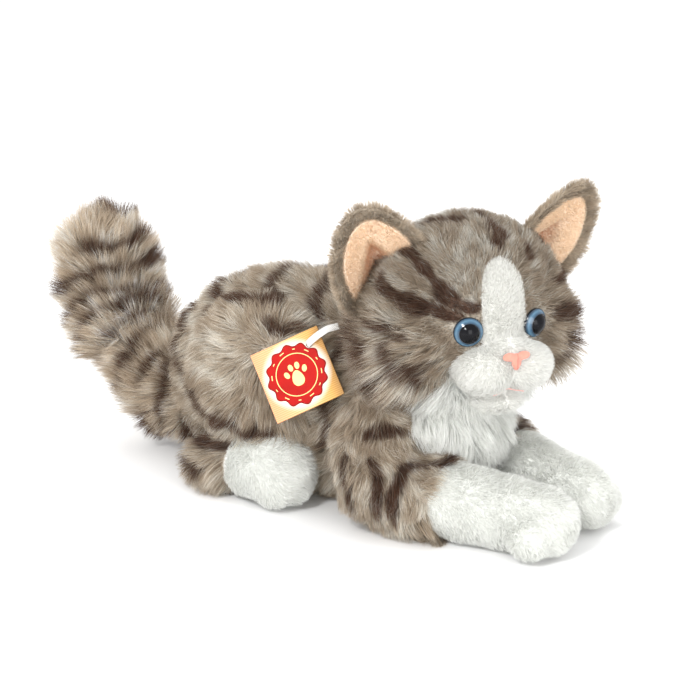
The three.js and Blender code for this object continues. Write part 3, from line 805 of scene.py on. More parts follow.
SKULL_LOW, SKULL_HIGH = HEAD.box("head_cover", "head_stuffing")
MUZZLE_LOW, MUZZLE_HIGH = HEAD.box("muzzle_cover")
CHIN_LOW, CHIN_HIGH = HEAD.box("chin")
NOSE_LOW, NOSE_HIGH = HEAD.box("nose")
MUZZLE_REACH, MUZZLE_HALF = MUZZLE_HIGH[:2]
MUZZLE_MIDDLE = (MUZZLE_LOW[2] + MUZZLE_HIGH[2]) / 2
# The head's lobes, as (forward, aside, up) in its own place: centre and radii. One that stands aside is on
# both sides.
SKULL = ((0, 0, 0), (-SKULL_LOW[0], SKULL_HIGH[1], SKULL_HIGH[2]))
MUZZLE_PAD = ((MUZZLE_REACH - 16, MUZZLE_HALF * 0.42, MUZZLE_MIDDLE + 2), (16.5, MUZZLE_HALF * 0.6, 13.5))
MUZZLE_BRIDGE = ((MUZZLE_REACH - 20, 0, MUZZLE_MIDDLE + 9), (18, 13, 12))
CHIN = ((CHIN_HIGH[0] - 15.5, 0, CHIN_LOW[2] + 7), (14, 15, 7.5))
CHEEK = ((4, 33, -18), (19, 19, 20))


def fill_head(bm):
    for (ahead, aside, up), radii in (SKULL, MUZZLE_PAD, MUZZLE_BRIDGE, CHIN, CHEEK):
        for side in SIDES.values() if aside else (0,):
            ball_in(bm, (ahead, side * aside, up), radii, HEAD)


def fill_torso(bm):
    hull_of(bm, node_points("torso_cover", "belly_panel", "torso_stuffing"))
    hull_of(bm, node_points("chest_bib"))


TOE_BACK, TOE_ROUND = 15, 5  # from the paw's end back to the middle toe, and from it to the other two
TOE_HEIGHT, TOE_REACH, TOE_TALL = 13, 13, 12


def fill_limb(limb, word):
    """A leg and its paw, with three toes across the paw's front end."""
    leg, paw, stuffing = (f"{limb}{part}_{word}" for part in ("leg_cover", "paw_cover", "leg_stuffing"))
    paw_middle = node_points(paw).mean(0)
    heading = unit((paw_middle - node_points(leg).mean(0)) * [1, 1, 0])
    if limb == "hind":
        heading = np.array([1.0, 0.0, 0.0])
    place = Place(paw_middle * [1, 1, 0], heading, np.cross(UP, heading), UP)
    low, high = place.box(paw)

    def fill(bm):
        nodes_in(bm, leg, paw, stuffing)
        across = (high[1] - low[1]) / 2
        middle = (high[1] + low[1]) / 2
        for toe in (-1, 0, 1):
            centre = (high[0] - TOE_BACK - TOE_ROUND * abs(toe), middle + toe * across * 0.5, TOE_HEIGHT)
            ball_in(bm, centre, (TOE_REACH, across * 0.36, TOE_TALL), place, 3)

    return fill


def fill_from(*names):
    return lambda bm: nodes_in(bm, *names)


skins = {"head": new_skin("head_skin", fill_head, voxel=1.8, rounds=6, inset=1.2)}
skins["torso"] = new_skin("torso_skin", fill_torso, voxel=4, inset=4.5)
for word in SIDES:
    for limb in ("fore", "hind"):
        made = new_skin(f"{limb}leg_skin_{word}", fill_limb(limb, word), voxel=2.5, rounds=8, inset=2.6)
        skins[f"{limb}leg_{word}"] = made
for part in ("base", "tip"):
    names = [f"tail_{part}_cover", f"tail_{part}_stuffing"]
    skins[f"tail_{part}"] = new_skin(f"tail_{part}_skin", fill_from(*names), inset=3.5)
SEAM = tail_along(pivot("tail_curl")[None])[0]


def tuck(piece, depth=5, reach=16):
    """Draws a tail skin in beside the joint, so that its end lies inside its neighbour's fur."""
    points = coordinates(piece.data)
    share = 1 - smooth(np.abs(tail_along(points) - SEAM) / reach)
    set_coordinates(piece.data, points - depth * share[:, None] * vertex_normals(piece.data))


for part in ("base", "tip"):
    tuck(skins[f"tail_{part}"])
for part in [key for key in skins if key != "head"]:
    swell(skins[part])

# ---- Coats ----


def vectors(points, *parts):
    """A vector for each point, from numbers or arrays for its three parts."""
    return np.stack([np.broadcast_to(part, (len(points),)) for part in parts], 1).astype(float)


def torso_flow(points):
    flank = smooth((np.abs(points[:, 1]) - 8) / 30)
    return vectors(points, -0.8, 0, -0.9 * flank - 0.1)


def bib_flow(points):
    return vectors(points, 0.4, points[:, 1] * 0.03, -1)


def haunch_flow(side):
    """Outwards from a whorl high on the haunch."""
    whorl = np.array([2, side * 58, 92])
    return lambda points: unit(points - whorl) + [-0.25, 0, -0.25]


def foreleg_flow(points):
    reach = smooth((points[:, 0] - 70) / 50)
    return vectors(points, 0.25 + 0.5 * reach, 0, -1.0 + 0.5 * reach)


def paw_flow(points):
    return vectors(points, 1, 0, -0.35)


def tail_flow(points):
    return tail_nearest(points)[1]


def eye_distance(points):
    return np.min([np.linalg.norm(points - centre, axis=1) for centre, _ in EYES.values()], axis=0)


EYE_PART, EYE_PART_REACH = 2.2, 12  # how strongly an eye turns the fur from it, and how far off, in mm


def away_from_eyes(points, flow):
    """Turns fur near an eye away from it."""
    for centre, _ in EYES.values():
        off = points - centre
        near = np.exp(-((np.linalg.norm(off, axis=1, keepdims=True) / EYE_PART_REACH) ** 2))
        flow = flow + EYE_PART * near * unit(off)
    return flow


NOSE_TOP = HEAD.world([NOSE_HIGH[0], 0, NOSE_HIGH[2] - 2])


def head_flow(points):
    """Away from the nose over the head, and down the cheeks."""
    flow = unit(points - NOSE_TOP) + 0.35 * unit(HEAD.local(points) * [0, 1, 0.3]) @ HEAD.rows
    low = smooth((-HEAD.local(points)[:, 2] - 5) / 30)[:, None]
    return away_from_eyes(points, flow - low * 0.6 * UP)


HEAD_PILE, CHEEK_PILE, BACK_PILE, LOW_PILE = 7.5, 15, 4, 5  # the head's fur, and what is added there
EYE_PILE = 0.36  # the share of that length beside an eye


def head_length(points):
    """Short round the eyes, and longest low on the cheeks."""
    local = HEAD.local(points)
    cheek = smooth((np.abs(local[:, 1]) - 22) / 22) * smooth((18 - local[:, 2]) / 34)
    back = smooth((5 - local[:, 0]) / 30)
    near = smooth((eye_distance(points) - 8) / 16)
    low = cheek * smooth((-local[:, 2] - 10) / 14)
    length = HEAD_PILE + CHEEK_PILE * cheek + BACK_PILE * back + LOW_PILE * low
    return length * (EYE_PILE + (1 - EYE_PILE) * near)


def face_flow(points):
    return away_from_eyes(points, unit(points - NOSE_TOP) + [0, 0, 0.1])


def muzzle_flow(points):
    return vectors(points, 0, np.sign(HEAD.local(points)[:, 1]) * 0.8, -0.35) @ HEAD.rows


def ruff_flow(points):
    return vectors(points, 0.35, HEAD.local(points)[:, 1] * 0.025, -1) @ HEAD.rows


BIB_EDGE = 9.5  # fur is white up to this far from the bib's node
HEAD_PARTS = ("head_cover", "face_blaze", "muzzle_cover", "chin")
BLAZE_TOP = HEAD.box("face_blaze")[1][2] - 7
BLAZE_HALF, BLAZE_ROUND = 13, 19  # its half width, and how far down its rounded top reaches
EYE_ROOM = 9.2  # no fur grows nearer than this to the middle of an eye's lens


def on_blaze(points):
    """True inside the blaze, which is rounded at the top."""
    local = HEAD.local(points)
    height = np.clip((BLAZE_TOP - local[:, 2]) / BLAZE_ROUND, 0, 1)
    half = BLAZE_HALF * np.sqrt(1 - (1 - height) ** 2)
    return np.abs(local[:, 1] - 0.5) < half


def on_ruff(points):
    """True on the underside of the head, where long white fur hangs over the chest."""
    local = HEAD.local(points)
    edge = 30 - 0.5 * np.clip(local[:, 2] + 44, 0, 30)
    return (local[:, 2] < -20) & (np.abs(local[:, 1]) < edge) & (local[:, 0] > 4)


def head_code(points):
    """Which of the head's parts each point lies on; len(HEAD_PARTS) stands for the ruff."""
    code = nearest_node(points, *HEAD_PARTS)
    high = HEAD.local(points)[:, 2] > MUZZLE_HIGH[2]
    code = np.where((code == 1) & high & ~on_blaze(points), 0, code)
    return np.where((code == 0) & on_ruff(points), len(HEAD_PARTS), code)


def head_part(*wanted):
    codes = [HEAD_PARTS.index(name) if name in HEAD_PARTS else len(HEAD_PARTS) for name in wanted]
    return lambda points: np.isin(head_code(points), codes) & (eye_distance(points) > EYE_ROOM)


def nearer_to(first, second):
    """Picks the points that are nearer to the first node than to the second."""
    return lambda points: nearest_node(points, first, second) == 0


def from_bib(points):
    """Each point's distance from the bib's node, in mm."""
    tree = tree_of(frame["nodes"]["chest_bib"])
    return np.array([tree.find_nearest(Vector(p * MM))[3] for p in points]) / MM


def foreleg_length(points):
    return 4.5 + 7.5 * smooth((from_bib(points) - 5) / 14)


def tail_length(points):
    return 15 + 6 * smooth((tail_along(points) - 20) / 30)


def head_light(points):
    """Darker on the forehead, partly its own grey-brown and partly painted shade over the top of the head,
    and paler down the cheeks.
    """
    local = HEAD.local(points)
    return 0.9 + 0.22 * smooth((np.abs(local[:, 1]) - 18) / 22) * smooth((22 - local[:, 2]) / 32)


HEAD_TABBY = tabby(head_stripes, head_light)
BODY_TABBY = tabby(body_stripes, even(1.2))
TAIL_TABBY = tabby(tail_stripes, even(1.45))
SHORT = {"width": 0.3, "joints": 3, "root": 0.93}
FACE = {"density": 4.5, "droop": 0, "tuft": 2, "pull": 0.15, "ruffle": 6, **SHORT}
COATS = {
    "head": Coat(head_flow, head_length, HEAD_TABBY, (56, 30), 2.4, width=0.25, tuft=5, pull=0.45, ruffle=13),
    "face": Coat(face_flow, even(3.2), plain(FACE_WHITE), (60, 36), **FACE),
    "muzzle": Coat(muzzle_flow, even(3.4), plain(FACE_WHITE), (60, 38), **FACE),
    "ruff": Coat(ruff_flow, even(25), plain(WHITE), (50, 24), 3.4, width=0.27, droop=0.35, tuft=5, root=0.93),
    "torso": Coat(torso_flow, even(14), BODY_TABBY, (60, 32), 1.9, droop=0.25, tuft=8, ruffle=13),
    "bib": Coat(bib_flow, even(15), plain(WHITE), (58, 22), 2.4, width=0.25, droop=0.35, tuft=6, root=0.93),
    "foreleg": Coat(foreleg_flow, foreleg_length, BODY_TABBY, (52, 20), 2, droop=0.25),
    "paw": Coat(paw_flow, even(4.4), plain(WHITE), (58, 32), 3.4, droop=0.05, tuft=3, pull=0.2, ruffle=7,
                **SHORT),
    "tail": Coat(tail_flow, tail_length, TAIL_TABBY, (62, 44), 2.2, droop=0.05, ruffle=14),
}


def haunch_coat(side):
    return Coat(haunch_flow(side), even(15), BODY_TABBY, (46, 20), 1.9, droop=0.3, tuft=8)


def colour_skin(piece, tone):
    """Colours a skin like its coat, but deeper where the coat is not white."""
    points = coordinates(piece.data)
    shade = tone(points, vertex_normals(piece.data), np.zeros((len(points), 2)))
    paint(piece.data, np.clip(shade * (0.78 + 0.2 * smooth((shade - 0.6) / 0.3)), 0, 1))
    piece.data.materials.clear()
    piece.data.materials.append(SKIN)


def two_tone(first, second, is_second):
    """One colour function, with another where is_second says so."""

    def tone(*spots):
        return np.where(is_second(spots[0])[:, None], second(*spots), first(*spots))

    return tone


fur = {}


def add_fur(name, *growing):
    fur[name] = grow(name, *growing)


head_white = head_part("face_blaze", "muzzle_cover", "chin", "ruff")
colour_skin(skins["head"], two_tone(HEAD_TABBY, plain(FACE_WHITE), head_white))
add_fur("head_fur", skins["head"], COATS["head"], 11, head_part("head_cover"), [skins["torso"]])
add_fur("face_fur", skins["head"], COATS["face"], 12, head_part("face_blaze"))
add_fur("muzzle_fur", skins["head"], COATS["muzzle"], 13, head_part("muzzle_cover", "chin"))
add_fur("ruff_fur", skins["head"], COATS["ruff"], 16, head_part("ruff"))


def bib_part(points):
    return from_bib(points) < BIB_EDGE


colour_skin(skins["torso"], two_tone(BODY_TABBY, plain(WHITE), bib_part))
neighbours = [skins[key] for key in skins if key not in ("torso", "tail_tip")]
add_fur("torso_fur", skins["torso"], COATS["torso"], 14, lambda p: ~bib_part(p), neighbours)
add_fur("bib_fur", skins["torso"], COATS["bib"], 15, bib_part, neighbours)
for number, (word, side) in enumerate(SIDES.items()):
    for limb, coat, seed in (("fore", COATS["foreleg"], 20), ("hind", haunch_coat(side), 40)):
        skin = skins[f"{limb}leg_{word}"]
        is_paw = nearer_to(f"{limb}paw_cover_{word}", f"{limb}leg_cover_{word}")
        colour_skin(skin, two_tone(BODY_TABBY, plain(WHITE), is_paw))
        add_fur(f"{limb}leg_fur_{word}", skin, coat, seed + number, lambda p: ~is_paw(p), [skins["torso"]])
        add_fur(f"{limb}paw_fur_{word}", skin, COATS["paw"], seed + 10 + number, is_paw)
for number, (part, other) in enumerate((("base", "torso"), ("tip", "tail_base"))):
    skin = skins[f"tail_{part}"]
    colour_skin(skin, TAIL_TABBY)
    add_fur(f"tail_{part}_fur", skin, COATS["tail"], 60 + number, None, [skins[other]])

# ---- Riding ----

for body, skin in skins.items():
    if not body.startswith("tail"):
        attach(skin, body)
bodies = {f"{part}_fur": "head" for part in ("head", "face", "muzzle", "ruff")}
bodies.update({f"{part}_fur": "torso" for part in ("torso", "bib")})
for word in SIDES:
    for limb in ("fore", "hind"):
        bodies.update({f"{limb}{part}_fur_{word}": f"{limb}leg_{word}" for part in ("leg", "paw")})
for name, body in bodies.items():
    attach(fur[name], body)
for piece in (skins["tail_base"], fur["tail_base_fur"]):
    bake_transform(piece)
for piece in (skins["tail_tip"], fur["tail_tip_fur"]):
    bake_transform(piece)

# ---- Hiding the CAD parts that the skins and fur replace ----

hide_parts("head_cover", "head_stuffing", "neck_stuffing", "chin")
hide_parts("face_blaze")
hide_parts("muzzle_cover")
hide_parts("torso_cover", "belly_panel", "torso_stuffing")
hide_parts("chest_bib")
for word in SIDES:
    for limb in ("fore", "hind"):
        names = (f"{limb}leg_cover_{word}", f"{limb}leg_stuffing_{word}")
        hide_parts(*names)
        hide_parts(f"{limb}paw_cover_{word}")
for part in ("base", "tip"):
    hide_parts(f"tail_{part}_cover", f"tail_{part}_stuffing")

# ---- Eyes ----


def eye_place(word):
    """An eye's place, which faces out of the head from the plane of its rim, and the rim's radius."""
    lens, outward = EYES[word]
    points = node_points(f"eye_{word}") - lens
    heights = points @ outward
    reach = np.linalg.norm(points - heights[:, None] * outward, axis=1)
    rim = heights[reach > reach.max() - 0.1].min()
    aside = unit(np.cross(UP, outward))
    return Place(lens + rim * outward, outward, aside, np.cross(outward, aside)), reach.max()


def turned(name, profile, place, around=64):
    """A turned piece about its place's forward line, from (radius, height) pairs that start and end on it."""
    points = [(height, radius * c, radius * s) for radius, height in profile for c, s in circle(around)]
    piece = link(welded(mesh_from(name, points, ring_faces(len(profile), around)), 0.01), name)
    piece.matrix_world = place.matrix()
    return piece


def dome(rim, rim_height, top, end=0.0, steps=10):
    """(radius, height) pairs up a shallow dome, from its rim to a smaller radius."""
    radii = np.linspace(rim, end, steps)
    return [(r, rim_height + (top - rim_height) * (1 - (r / rim) ** 2)) for r in radii]


def off_axis(tree):
    """Distance from the object's own forward line, in metres."""
    flat = node(tree, "ShaderNodeVectorMath", {0: own_place(tree), 1: (0, 1, 1)}, operation="MULTIPLY")
    return node(tree, "ShaderNodeVectorMath", {0: flat.outputs[0]}, operation="LENGTH").outputs["Value"]


def iris_material(radius):
    """Clear blue plastic: a dark edge, a pale ring and fine rays."""
    material, tree, shader = new_material("blue_iris")
    colour = ramp(tree, maths(tree, "DIVIDE", off_axis(tree), radius * MM),
                  [(0.66, srgb(14, 28, 42)), (0.75, srgb(46, 80, 104)), (0.86, srgb(78, 116, 140)),
                   (0.93, srgb(46, 78, 100)), (1.0, srgb(10, 18, 28))])
    rays = ramp(tree, noise(tree, 700, 2), [(0.35, (0.8, 0.84, 0.88)), (0.65, UNCHANGED)])
    feed(tree, shader, {"Base Color": mixed(tree, "MULTIPLY", 1.0, colour, rays), "Roughness": 0.16,
                        "Coat Weight": 0.5, "Coat Roughness": 0.03})
    return material


def lens_material():
    """Polished black plastic, with the faintest haze of wear."""
    haze = [(0.3, (0.002, 0.002, 0.003)), (0.7, (0.006, 0.006, 0.008))]
    return mottled("black_pupil", 300, 4, haze, {"Roughness": 0.05, "Specular IOR Level": 0.16})


PUPIL_SHARE = 0.69  # the black lens's radius, in an eye of radius 1
EYE_RIM = ((-0.8, -1.0), (-0.2, -0.5), (0, 0.3), (-0.15, 1.1))  # how far past the radius, and height
DOME_EDGE, DOME_TOP, DOME_SEAT = 1.5, 5.4, 2.4  # heights of the blue dome and of the lens's seat in it
LENS_SEAT, LENS_EDGE, LENS_TOP = 2.8, 3.3, 6.1  # heights of the lens


def add_eyes():
    black = lens_material()
    for word in SIDES:
        place, radius = eye_place(word)
        pupil = radius * PUPIL_SHARE
        seat = pupil * 0.9
        body = [(0, EYE_RIM[0][1])] + [(radius + past, height) for past, height in EYE_RIM]
        body += dome(radius - 0.4, DOME_EDGE, DOME_TOP, seat) + [(seat, DOME_SEAT), (0, DOME_SEAT)]
        eye = turned(f"eye_dome_{word}", body, place)
        eye.data.materials.append(iris_material(radius))
        body = [(0, LENS_SEAT), (pupil * 0.86, LENS_SEAT)] + dome(pupil, LENS_EDGE, LENS_TOP)
        lens = turned(f"eye_lens_{word}", body, place)
        lens.data.materials.append(black)
        for piece, slot, cad in ((eye, "blue_eye", "eye"), (lens, "black_eye", "pupil")):
            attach(piece, "head")
            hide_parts(f"{cad}_{word}")


# ---- Nose and mouth ----

HEAD_TREE = tree_of(skins["head"])
NOSE_LIFT, MOUTH_LIFT = 1.3, 1.9  # how far they stand off the skin, in its fur


def head_surface(aside, up):
    """The point and outward normal of the head's skin straight behind a place on the face."""
    start = HEAD.world([90, aside, up])
    place, normal, _, _ = HEAD_TREE.ray_cast(Vector(start * MM), Vector(-HEAD_FORWARD))
    return np.array(place) / MM, np.array(normal)


def nose_place():
    point, outward = head_surface(0, (NOSE_LOW[2] + NOSE_HIGH[2]) / 2)
    outward = unit(outward - (outward @ HEAD_ASIDE) * HEAD_ASIDE)
    return Place(point + NOSE_LIFT * outward, outward, HEAD_ASIDE, np.cross(outward, HEAD_ASIDE))


def felt_material():
    """Flocked pink: a fine nap, paler where it is worn, and painted shade along the crease down the middle.
    """
    material, tree, shader = new_material("flocked_pink")
    worn = ramp(tree, noise(tree, 260, 5), [(0.3, PINK * 0.86), (0.72, np.minimum(PINK * 1.12, 0.95))])
    aside = node(tree, "ShaderNodeSeparateXYZ", {"Vector": own_place(tree)}).outputs["Y"]
    share = maths(tree, "DIVIDE", maths(tree, "ABSOLUTE", aside), MM)
    # Painted shade: the pink is darkened along the crease down the middle of the nose.
    crease_shade = ramp(tree, share, [(0.15, (0.72, 0.66, 0.66)), (0.6, UNCHANGED)])
    feed(tree, shader, {"Base Color": mixed(tree, "MULTIPLY", 1.0, worn, crease_shade), "Roughness": 0.85,
                        "Normal": bump(tree, noise(tree, 4500, 2), 0.6, 0.2),
                        "Sheen Weight": 0.5, "Sheen Roughness": 0.5})
    return material


# The nose's lobes: two above, their middle, and two of the stem. Each is its centre, then its radii, as mm
# forward, and shares of the nose's half width and half height.
NOSE_LOBES = [((0, -0.52, 0.5), (1.7, 0.48, 0.46)), ((0, 0.52, 0.5), (1.7, 0.48, 0.46)),
              ((0.1, 0, 0.36), (1.6, 0.66, 0.46)), ((0, 0, -0.2), (1.6, 0.36, 0.6)),
              ((-0.1, 0, -0.6), (1.6, 0.22, 0.42))]


def add_nose():
    size = np.array([1, NOSE_HIGH[1] * 1.25, (NOSE_HIGH[2] - NOSE_LOW[2]) / 2])
    upright = Place((0, 0, 0), *np.eye(3))

    def fill(bm):
        for centre, radii in NOSE_LOBES:
            ball_in(bm, size * centre, size * radii, upright, 3)

    nose = remeshed(link(mesh_of("nose_felt", fill), "nose_felt"), 0.3, 4)
    nose.data.materials.clear()
    nose.data.materials.append(felt_material())
    nose.matrix_world = nose_place().matrix()
    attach(nose, "head")
    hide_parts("nose")


def tube(name, path, radius, around, flat=1.0, wide=None):
    """A round or flattened tube along a path, closed at its ends. wide is the direction of its flat side."""
    path = np.asarray(path, float)
    runs = unit(np.gradient(path, axis=0))
    side = unit(np.cross(runs[0], [0.3, 0.2, 1.0])) if wide is None else np.asarray(wide, float)
    points = []
    for spot, run in zip(path, runs):
        side = unit(side - (side @ run) * run)
        other = np.cross(run, side)
        points += [spot + radius * (c * side + flat * s * other) for c, s in circle(around)]
    faces = ring_faces(len(path), around)
    faces.append(tuple(range(around))[::-1])
    faces.append(tuple(range(len(points) - around, len(points))))
    return link(mesh_from(name, points, faces), name)


def curve_through(stops, steps):
    """A smooth line through some points (Catmull-Rom)."""
    stops = np.asarray(stops, float)
    ends = np.vstack([2 * stops[0] - stops[1], stops, 2 * stops[-1] - stops[-2]])
    line = []
    for before, here, after, beyond in zip(ends[:-3], ends[1:-2], ends[2:-1], ends[3:]):
        for t in np.arange(steps) / steps:
            bend = 2 * before - 5 * here + 4 * after - beyond
            twist = 3 * here - before - 3 * after + beyond
            line.append(0.5 * (2 * here + (after - before) * t + bend * t**2 + twist * t**3))
    return np.array(line + [stops[-1]])


PLY_RADIUS, PLY_OFFSET, TWISTS = 0.2, 0.18, 12


def add_mouth():
    """Two plies of thread twisted round each other, along the line between the muzzle and the chin."""
    low, high = HEAD.box("mouth_thread")
    stops = []
    for share in np.linspace(-1, 1, 9):
        point, outward = head_surface(share * high[1], high[2] - 0.6 * (high[2] - low[2]) * abs(share) ** 1.3)
        stops.append(point + MOUTH_LIFT * outward)
    line = curve_through(stops, 10)
    runs = unit(np.gradient(line, axis=0))
    side = unit(np.cross(runs, HEAD_FORWARD))
    other = np.cross(runs, side)
    plies = []
    for turn in (0, math.pi):
        phase = np.linspace(0, 2 * math.pi * TWISTS, len(line))[:, None] + turn
        coil = line + PLY_OFFSET * (np.cos(phase) * side + np.sin(phase) * other)
        plies.append(tube("mouth_ply", coil, PLY_RADIUS, 8))

    def fill(bm):
        for ply in plies:
            bm.from_mesh(ply.data)

    mouth = link(mesh_of("mouth_stitch", fill), "mouth_stitch")
    for ply in plies:
        bpy.data.objects.remove(ply)
    mouth.data.shade_smooth()
    stops = [(0.3, srgb(226, 160, 154)), (0.7, srgb(244, 200, 192))]
    thread = mottled("pink_thread", 2500, 3, stops, {"Roughness": 0.6, "Sheen Weight": 0.3})
    mouth.data.materials.append(thread)
    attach(mouth, "head")
    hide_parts("mouth_thread")


# ---- Ears ----

# The ear's outline: height above the fold, then its inner and its outer edge, in mm.
EAR_OUTLINE = [(-28, -12, 20), (-14, -20, 25.5), (0, -24, 26), (12, -23, 25), (24, -19, 21), (34, -13, 15),
               (40.5, -7.5, 8.5), (43.5, -0.5, 1)]
EAR_TALL, EAR_HALF, EAR_CUP = 44, 25, 9.0  # its height, half width, and how far its edges stand forward
EAR_THICK = 1.8
POCKET_TOP, POCKET_DEEP = 21, 7.5  # where the lining's fold begins, and how deep it is pressed in
LINING_SHARE = 0.78  # the lining's size beside the ear's
LINING_FRONT, LINING_BACK = 1.3, 0.3  # how far it stands before the ear's own front
EAR_MIDDLE = 5
EAR_COLUMNS = 30


def ear_place(word):
    root = pivot(f"ear_{word}_fold")
    aside = unit(JOINTS[f"ear_{word}_fold"]["axis"])
    points = node_points(f"ear_outer_{word}") - root
    central = points[np.abs(points @ aside) < 5]
    tip = central[np.argmax(np.linalg.norm(central, axis=1))]
    up = unit(tip - (tip @ aside) * aside)
    return Place(root, np.cross(aside, up), aside, up)


def ear_pocket(across, up):
    """How far the lining's fold is pressed in below the ear's middle."""
    below = np.clip(POCKET_TOP - up, 0, 40)
    inside = np.clip(1 - np.abs(across - 1) / (2 + 0.42 * below), 0, 1)
    return POCKET_DEEP * np.clip(below / 14, 0, 1) * inside


def ear_depth(across, up):
    """How far forward the cupped ear stands."""
    level = np.clip(up / EAR_TALL, 0, 1)
    return EAR_CUP * (across / EAR_HALF) ** 2 * (1 - 0.35 * level) - ear_pocket(across, up)


def ear_sheet(place, side, share, lift):
    """Points of the ear, or of its lining when share is less than one, row by row."""
    points = []
    for up, inner, outer in curve_through(EAR_OUTLINE, 4):
        level = EAR_MIDDLE + (up - EAR_MIDDLE) * share
        for across in np.linspace(inner * share, outer * share, EAR_COLUMNS):
            points.append((ear_depth(across, level) + lift, side * across, level))
    return place.world(points)


def under_lining(across, up):
    """True for points behind the lining, where the ear's own fur would grow through it."""
    rows = np.array(EAR_OUTLINE, float)
    height = EAR_MIDDLE + (up - EAR_MIDDLE) / LINING_SHARE
    inner, outer = (np.interp(height, rows[:, 0], rows[:, k]) * LINING_SHARE for k in (1, 2))
    return (across > inner) & (across < outer) & (height < rows[-1, 0])


def sheet_faces(rows, start=0, flip=False):
    faces = []
    for row in range(rows - 1):
        for column in range(EAR_COLUMNS - 1):
            a = start + row * EAR_COLUMNS + column
            face = (a, a + 1, a + 1 + EAR_COLUMNS, a + EAR_COLUMNS)
            faces.append(face[::-1] if flip else face)
    return faces


def slab(name, front, back):
    """A closed piece between two sheets of the same grid."""
    count = len(front)
    rows = count // EAR_COLUMNS
    edge = [r * EAR_COLUMNS for r in range(rows)]
    edge += [(rows - 1) * EAR_COLUMNS + c for c in range(1, EAR_COLUMNS)]
    edge += [r * EAR_COLUMNS + EAR_COLUMNS - 1 for r in range(rows - 2, -1, -1)]
    edge += list(range(EAR_COLUMNS - 2, 0, -1))
    faces = sheet_faces(rows) + sheet_faces(rows, count, True)
    for here, after in zip(edge, edge[1:] + edge[:1]):
        faces.append((here, here + count, after + count, after))
    return link(welded(mesh_from(name, np.vstack([front, back]), faces), 0.02), name)


def lining_material():
    """Short peach plush with a brushed nap."""
    material, tree, shader = new_material("peach_lining")
    feed(tree, shader, {"Base Color": ramp(tree, noise(tree, 420, 6), [(0.3, PEACH * 0.94), (0.7, PEACH)]),
                        "Normal": bump(tree, noise(tree, 3200, 2), 0.5, 0.3),
                        "Roughness": 0.85, "Sheen Weight": 0.4})
    return material


def ear_tone(points, _normals, grain):
    light = np.clip(0.62 + 0.25 * ripple(points, 12, 31) + 0.15 * grain[:, 0], 0, 1)[:, None]
    return GREIGE_SHADE + (GREIGE * 1.35 - GREIGE_SHADE) * light


def add_ear(number, word, side, lining_cloth):
    place = ear_place(word)
    shell = slab(f"ear_shell_{word}", ear_sheet(place, side, 1, 0), ear_sheet(place, side, 1, -EAR_THICK))
    colour_skin(shell, plain(GREIGE, 0.05))
    lining = slab(f"ear_lining_cloth_{word}", ear_sheet(place, side, LINING_SHARE, LINING_FRONT),
                  ear_sheet(place, side, LINING_SHARE, LINING_BACK))
    lining.data.materials.append(lining_cloth)

    def outside_ear(points):
        forward, across, up = place.local(points).T
        across = across * side
        behind = forward < ear_depth(across, up) - EAR_THICK / 2
        return behind | ~under_lining(across, up)

    def ear_flow(points):
        aside = place.local(points)[:, 1]
        return vectors(points, 0, aside * 0.035, 1 - 0.012 * np.abs(aside)) @ place.rows

    def peach(points, _normals, grain):
        _, across, up = place.local(points).T
        # Painted shade: the nap is a deeper peach down in the crease of the fold, where shade falls.
        fold = smooth(ear_pocket(across * side, up) / 5)[:, None]
        return np.clip((PEACH + (PEACH_CREASE_SHADE - PEACH) * fold) * (1 + 0.025 * grain[:, :1]), 0, 1)

    coat = Coat(ear_flow, even(5), ear_tone, (56, 30), 4, droop=0, tuft=3, pull=0.3, joints=3)
    pile = grow(f"ear_fur_{word}", shell, coat, 70 + number, outside_ear)
    nap = Coat(ear_flow, even(1.7), peach, (64, 46), 9, droop=0, tuft=1.5, pull=0.1, ruffle=5, joints=3,
               root=0.95)
    inside = grow(f"ear_nap_{word}", lining, nap, 80 + number)
    for piece in (shell, pile, lining, inside):
        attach(piece, f"ear_{word}")
    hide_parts(f"ear_outer_{word}")
    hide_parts(f"ear_lining_{word}")


# ---- Swing tag ----


def tag_place():
    """The front leaf's place: forward is out of its face, and its hole is in its top right corner."""
    points = node_points("tag_front_leaf")
    centre = (points.max(0) + points.min(0)) / 2
    outward = np.linalg.svd(points - points.mean(0))[2][2]
    outward *= -np.sign(outward[1])
    centre = centre + ((points - centre) @ outward).max() * outward
    loop = node_points("tag_loop").mean(0)
    far = points[np.argsort(-np.linalg.norm(points - centre, axis=1))[:8]]
    top_right = far[np.argmin(np.linalg.norm(far - loop, axis=1))]
    diagonal = unit(top_right - centre - ((top_right - centre) @ outward) * outward)
    across = np.cross(diagonal, outward)
    sides = (unit(diagonal - across), unit(diagonal + across))
    right = sides[0] if np.cross(*sides) @ outward > 0 else sides[1]
    return Place(centre, outward, right, np.cross(outward, right))


TAG = tag_place()
TAG_HALF = TAG.box("tag_front_leaf")[1][1]
SEAL_RADIUS = TAG_HALF * 0.79


def along_card(tree, heading):
    """How far, in metres, a point lies from the middle of the card in a direction."""
    inputs = {0: own_place(tree), 1: tuple(TAG.origin * MM)}
    off = node(tree, "ShaderNodeVectorMath", inputs, operation="SUBTRACT").outputs[0]
    dot = node(tree, "ShaderNodeVectorMath", {0: off, 1: tuple(heading)}, operation="DOT_PRODUCT")
    return dot.outputs["Value"]


RULED = 0.0011  # metres from one ruled line of the card to the next


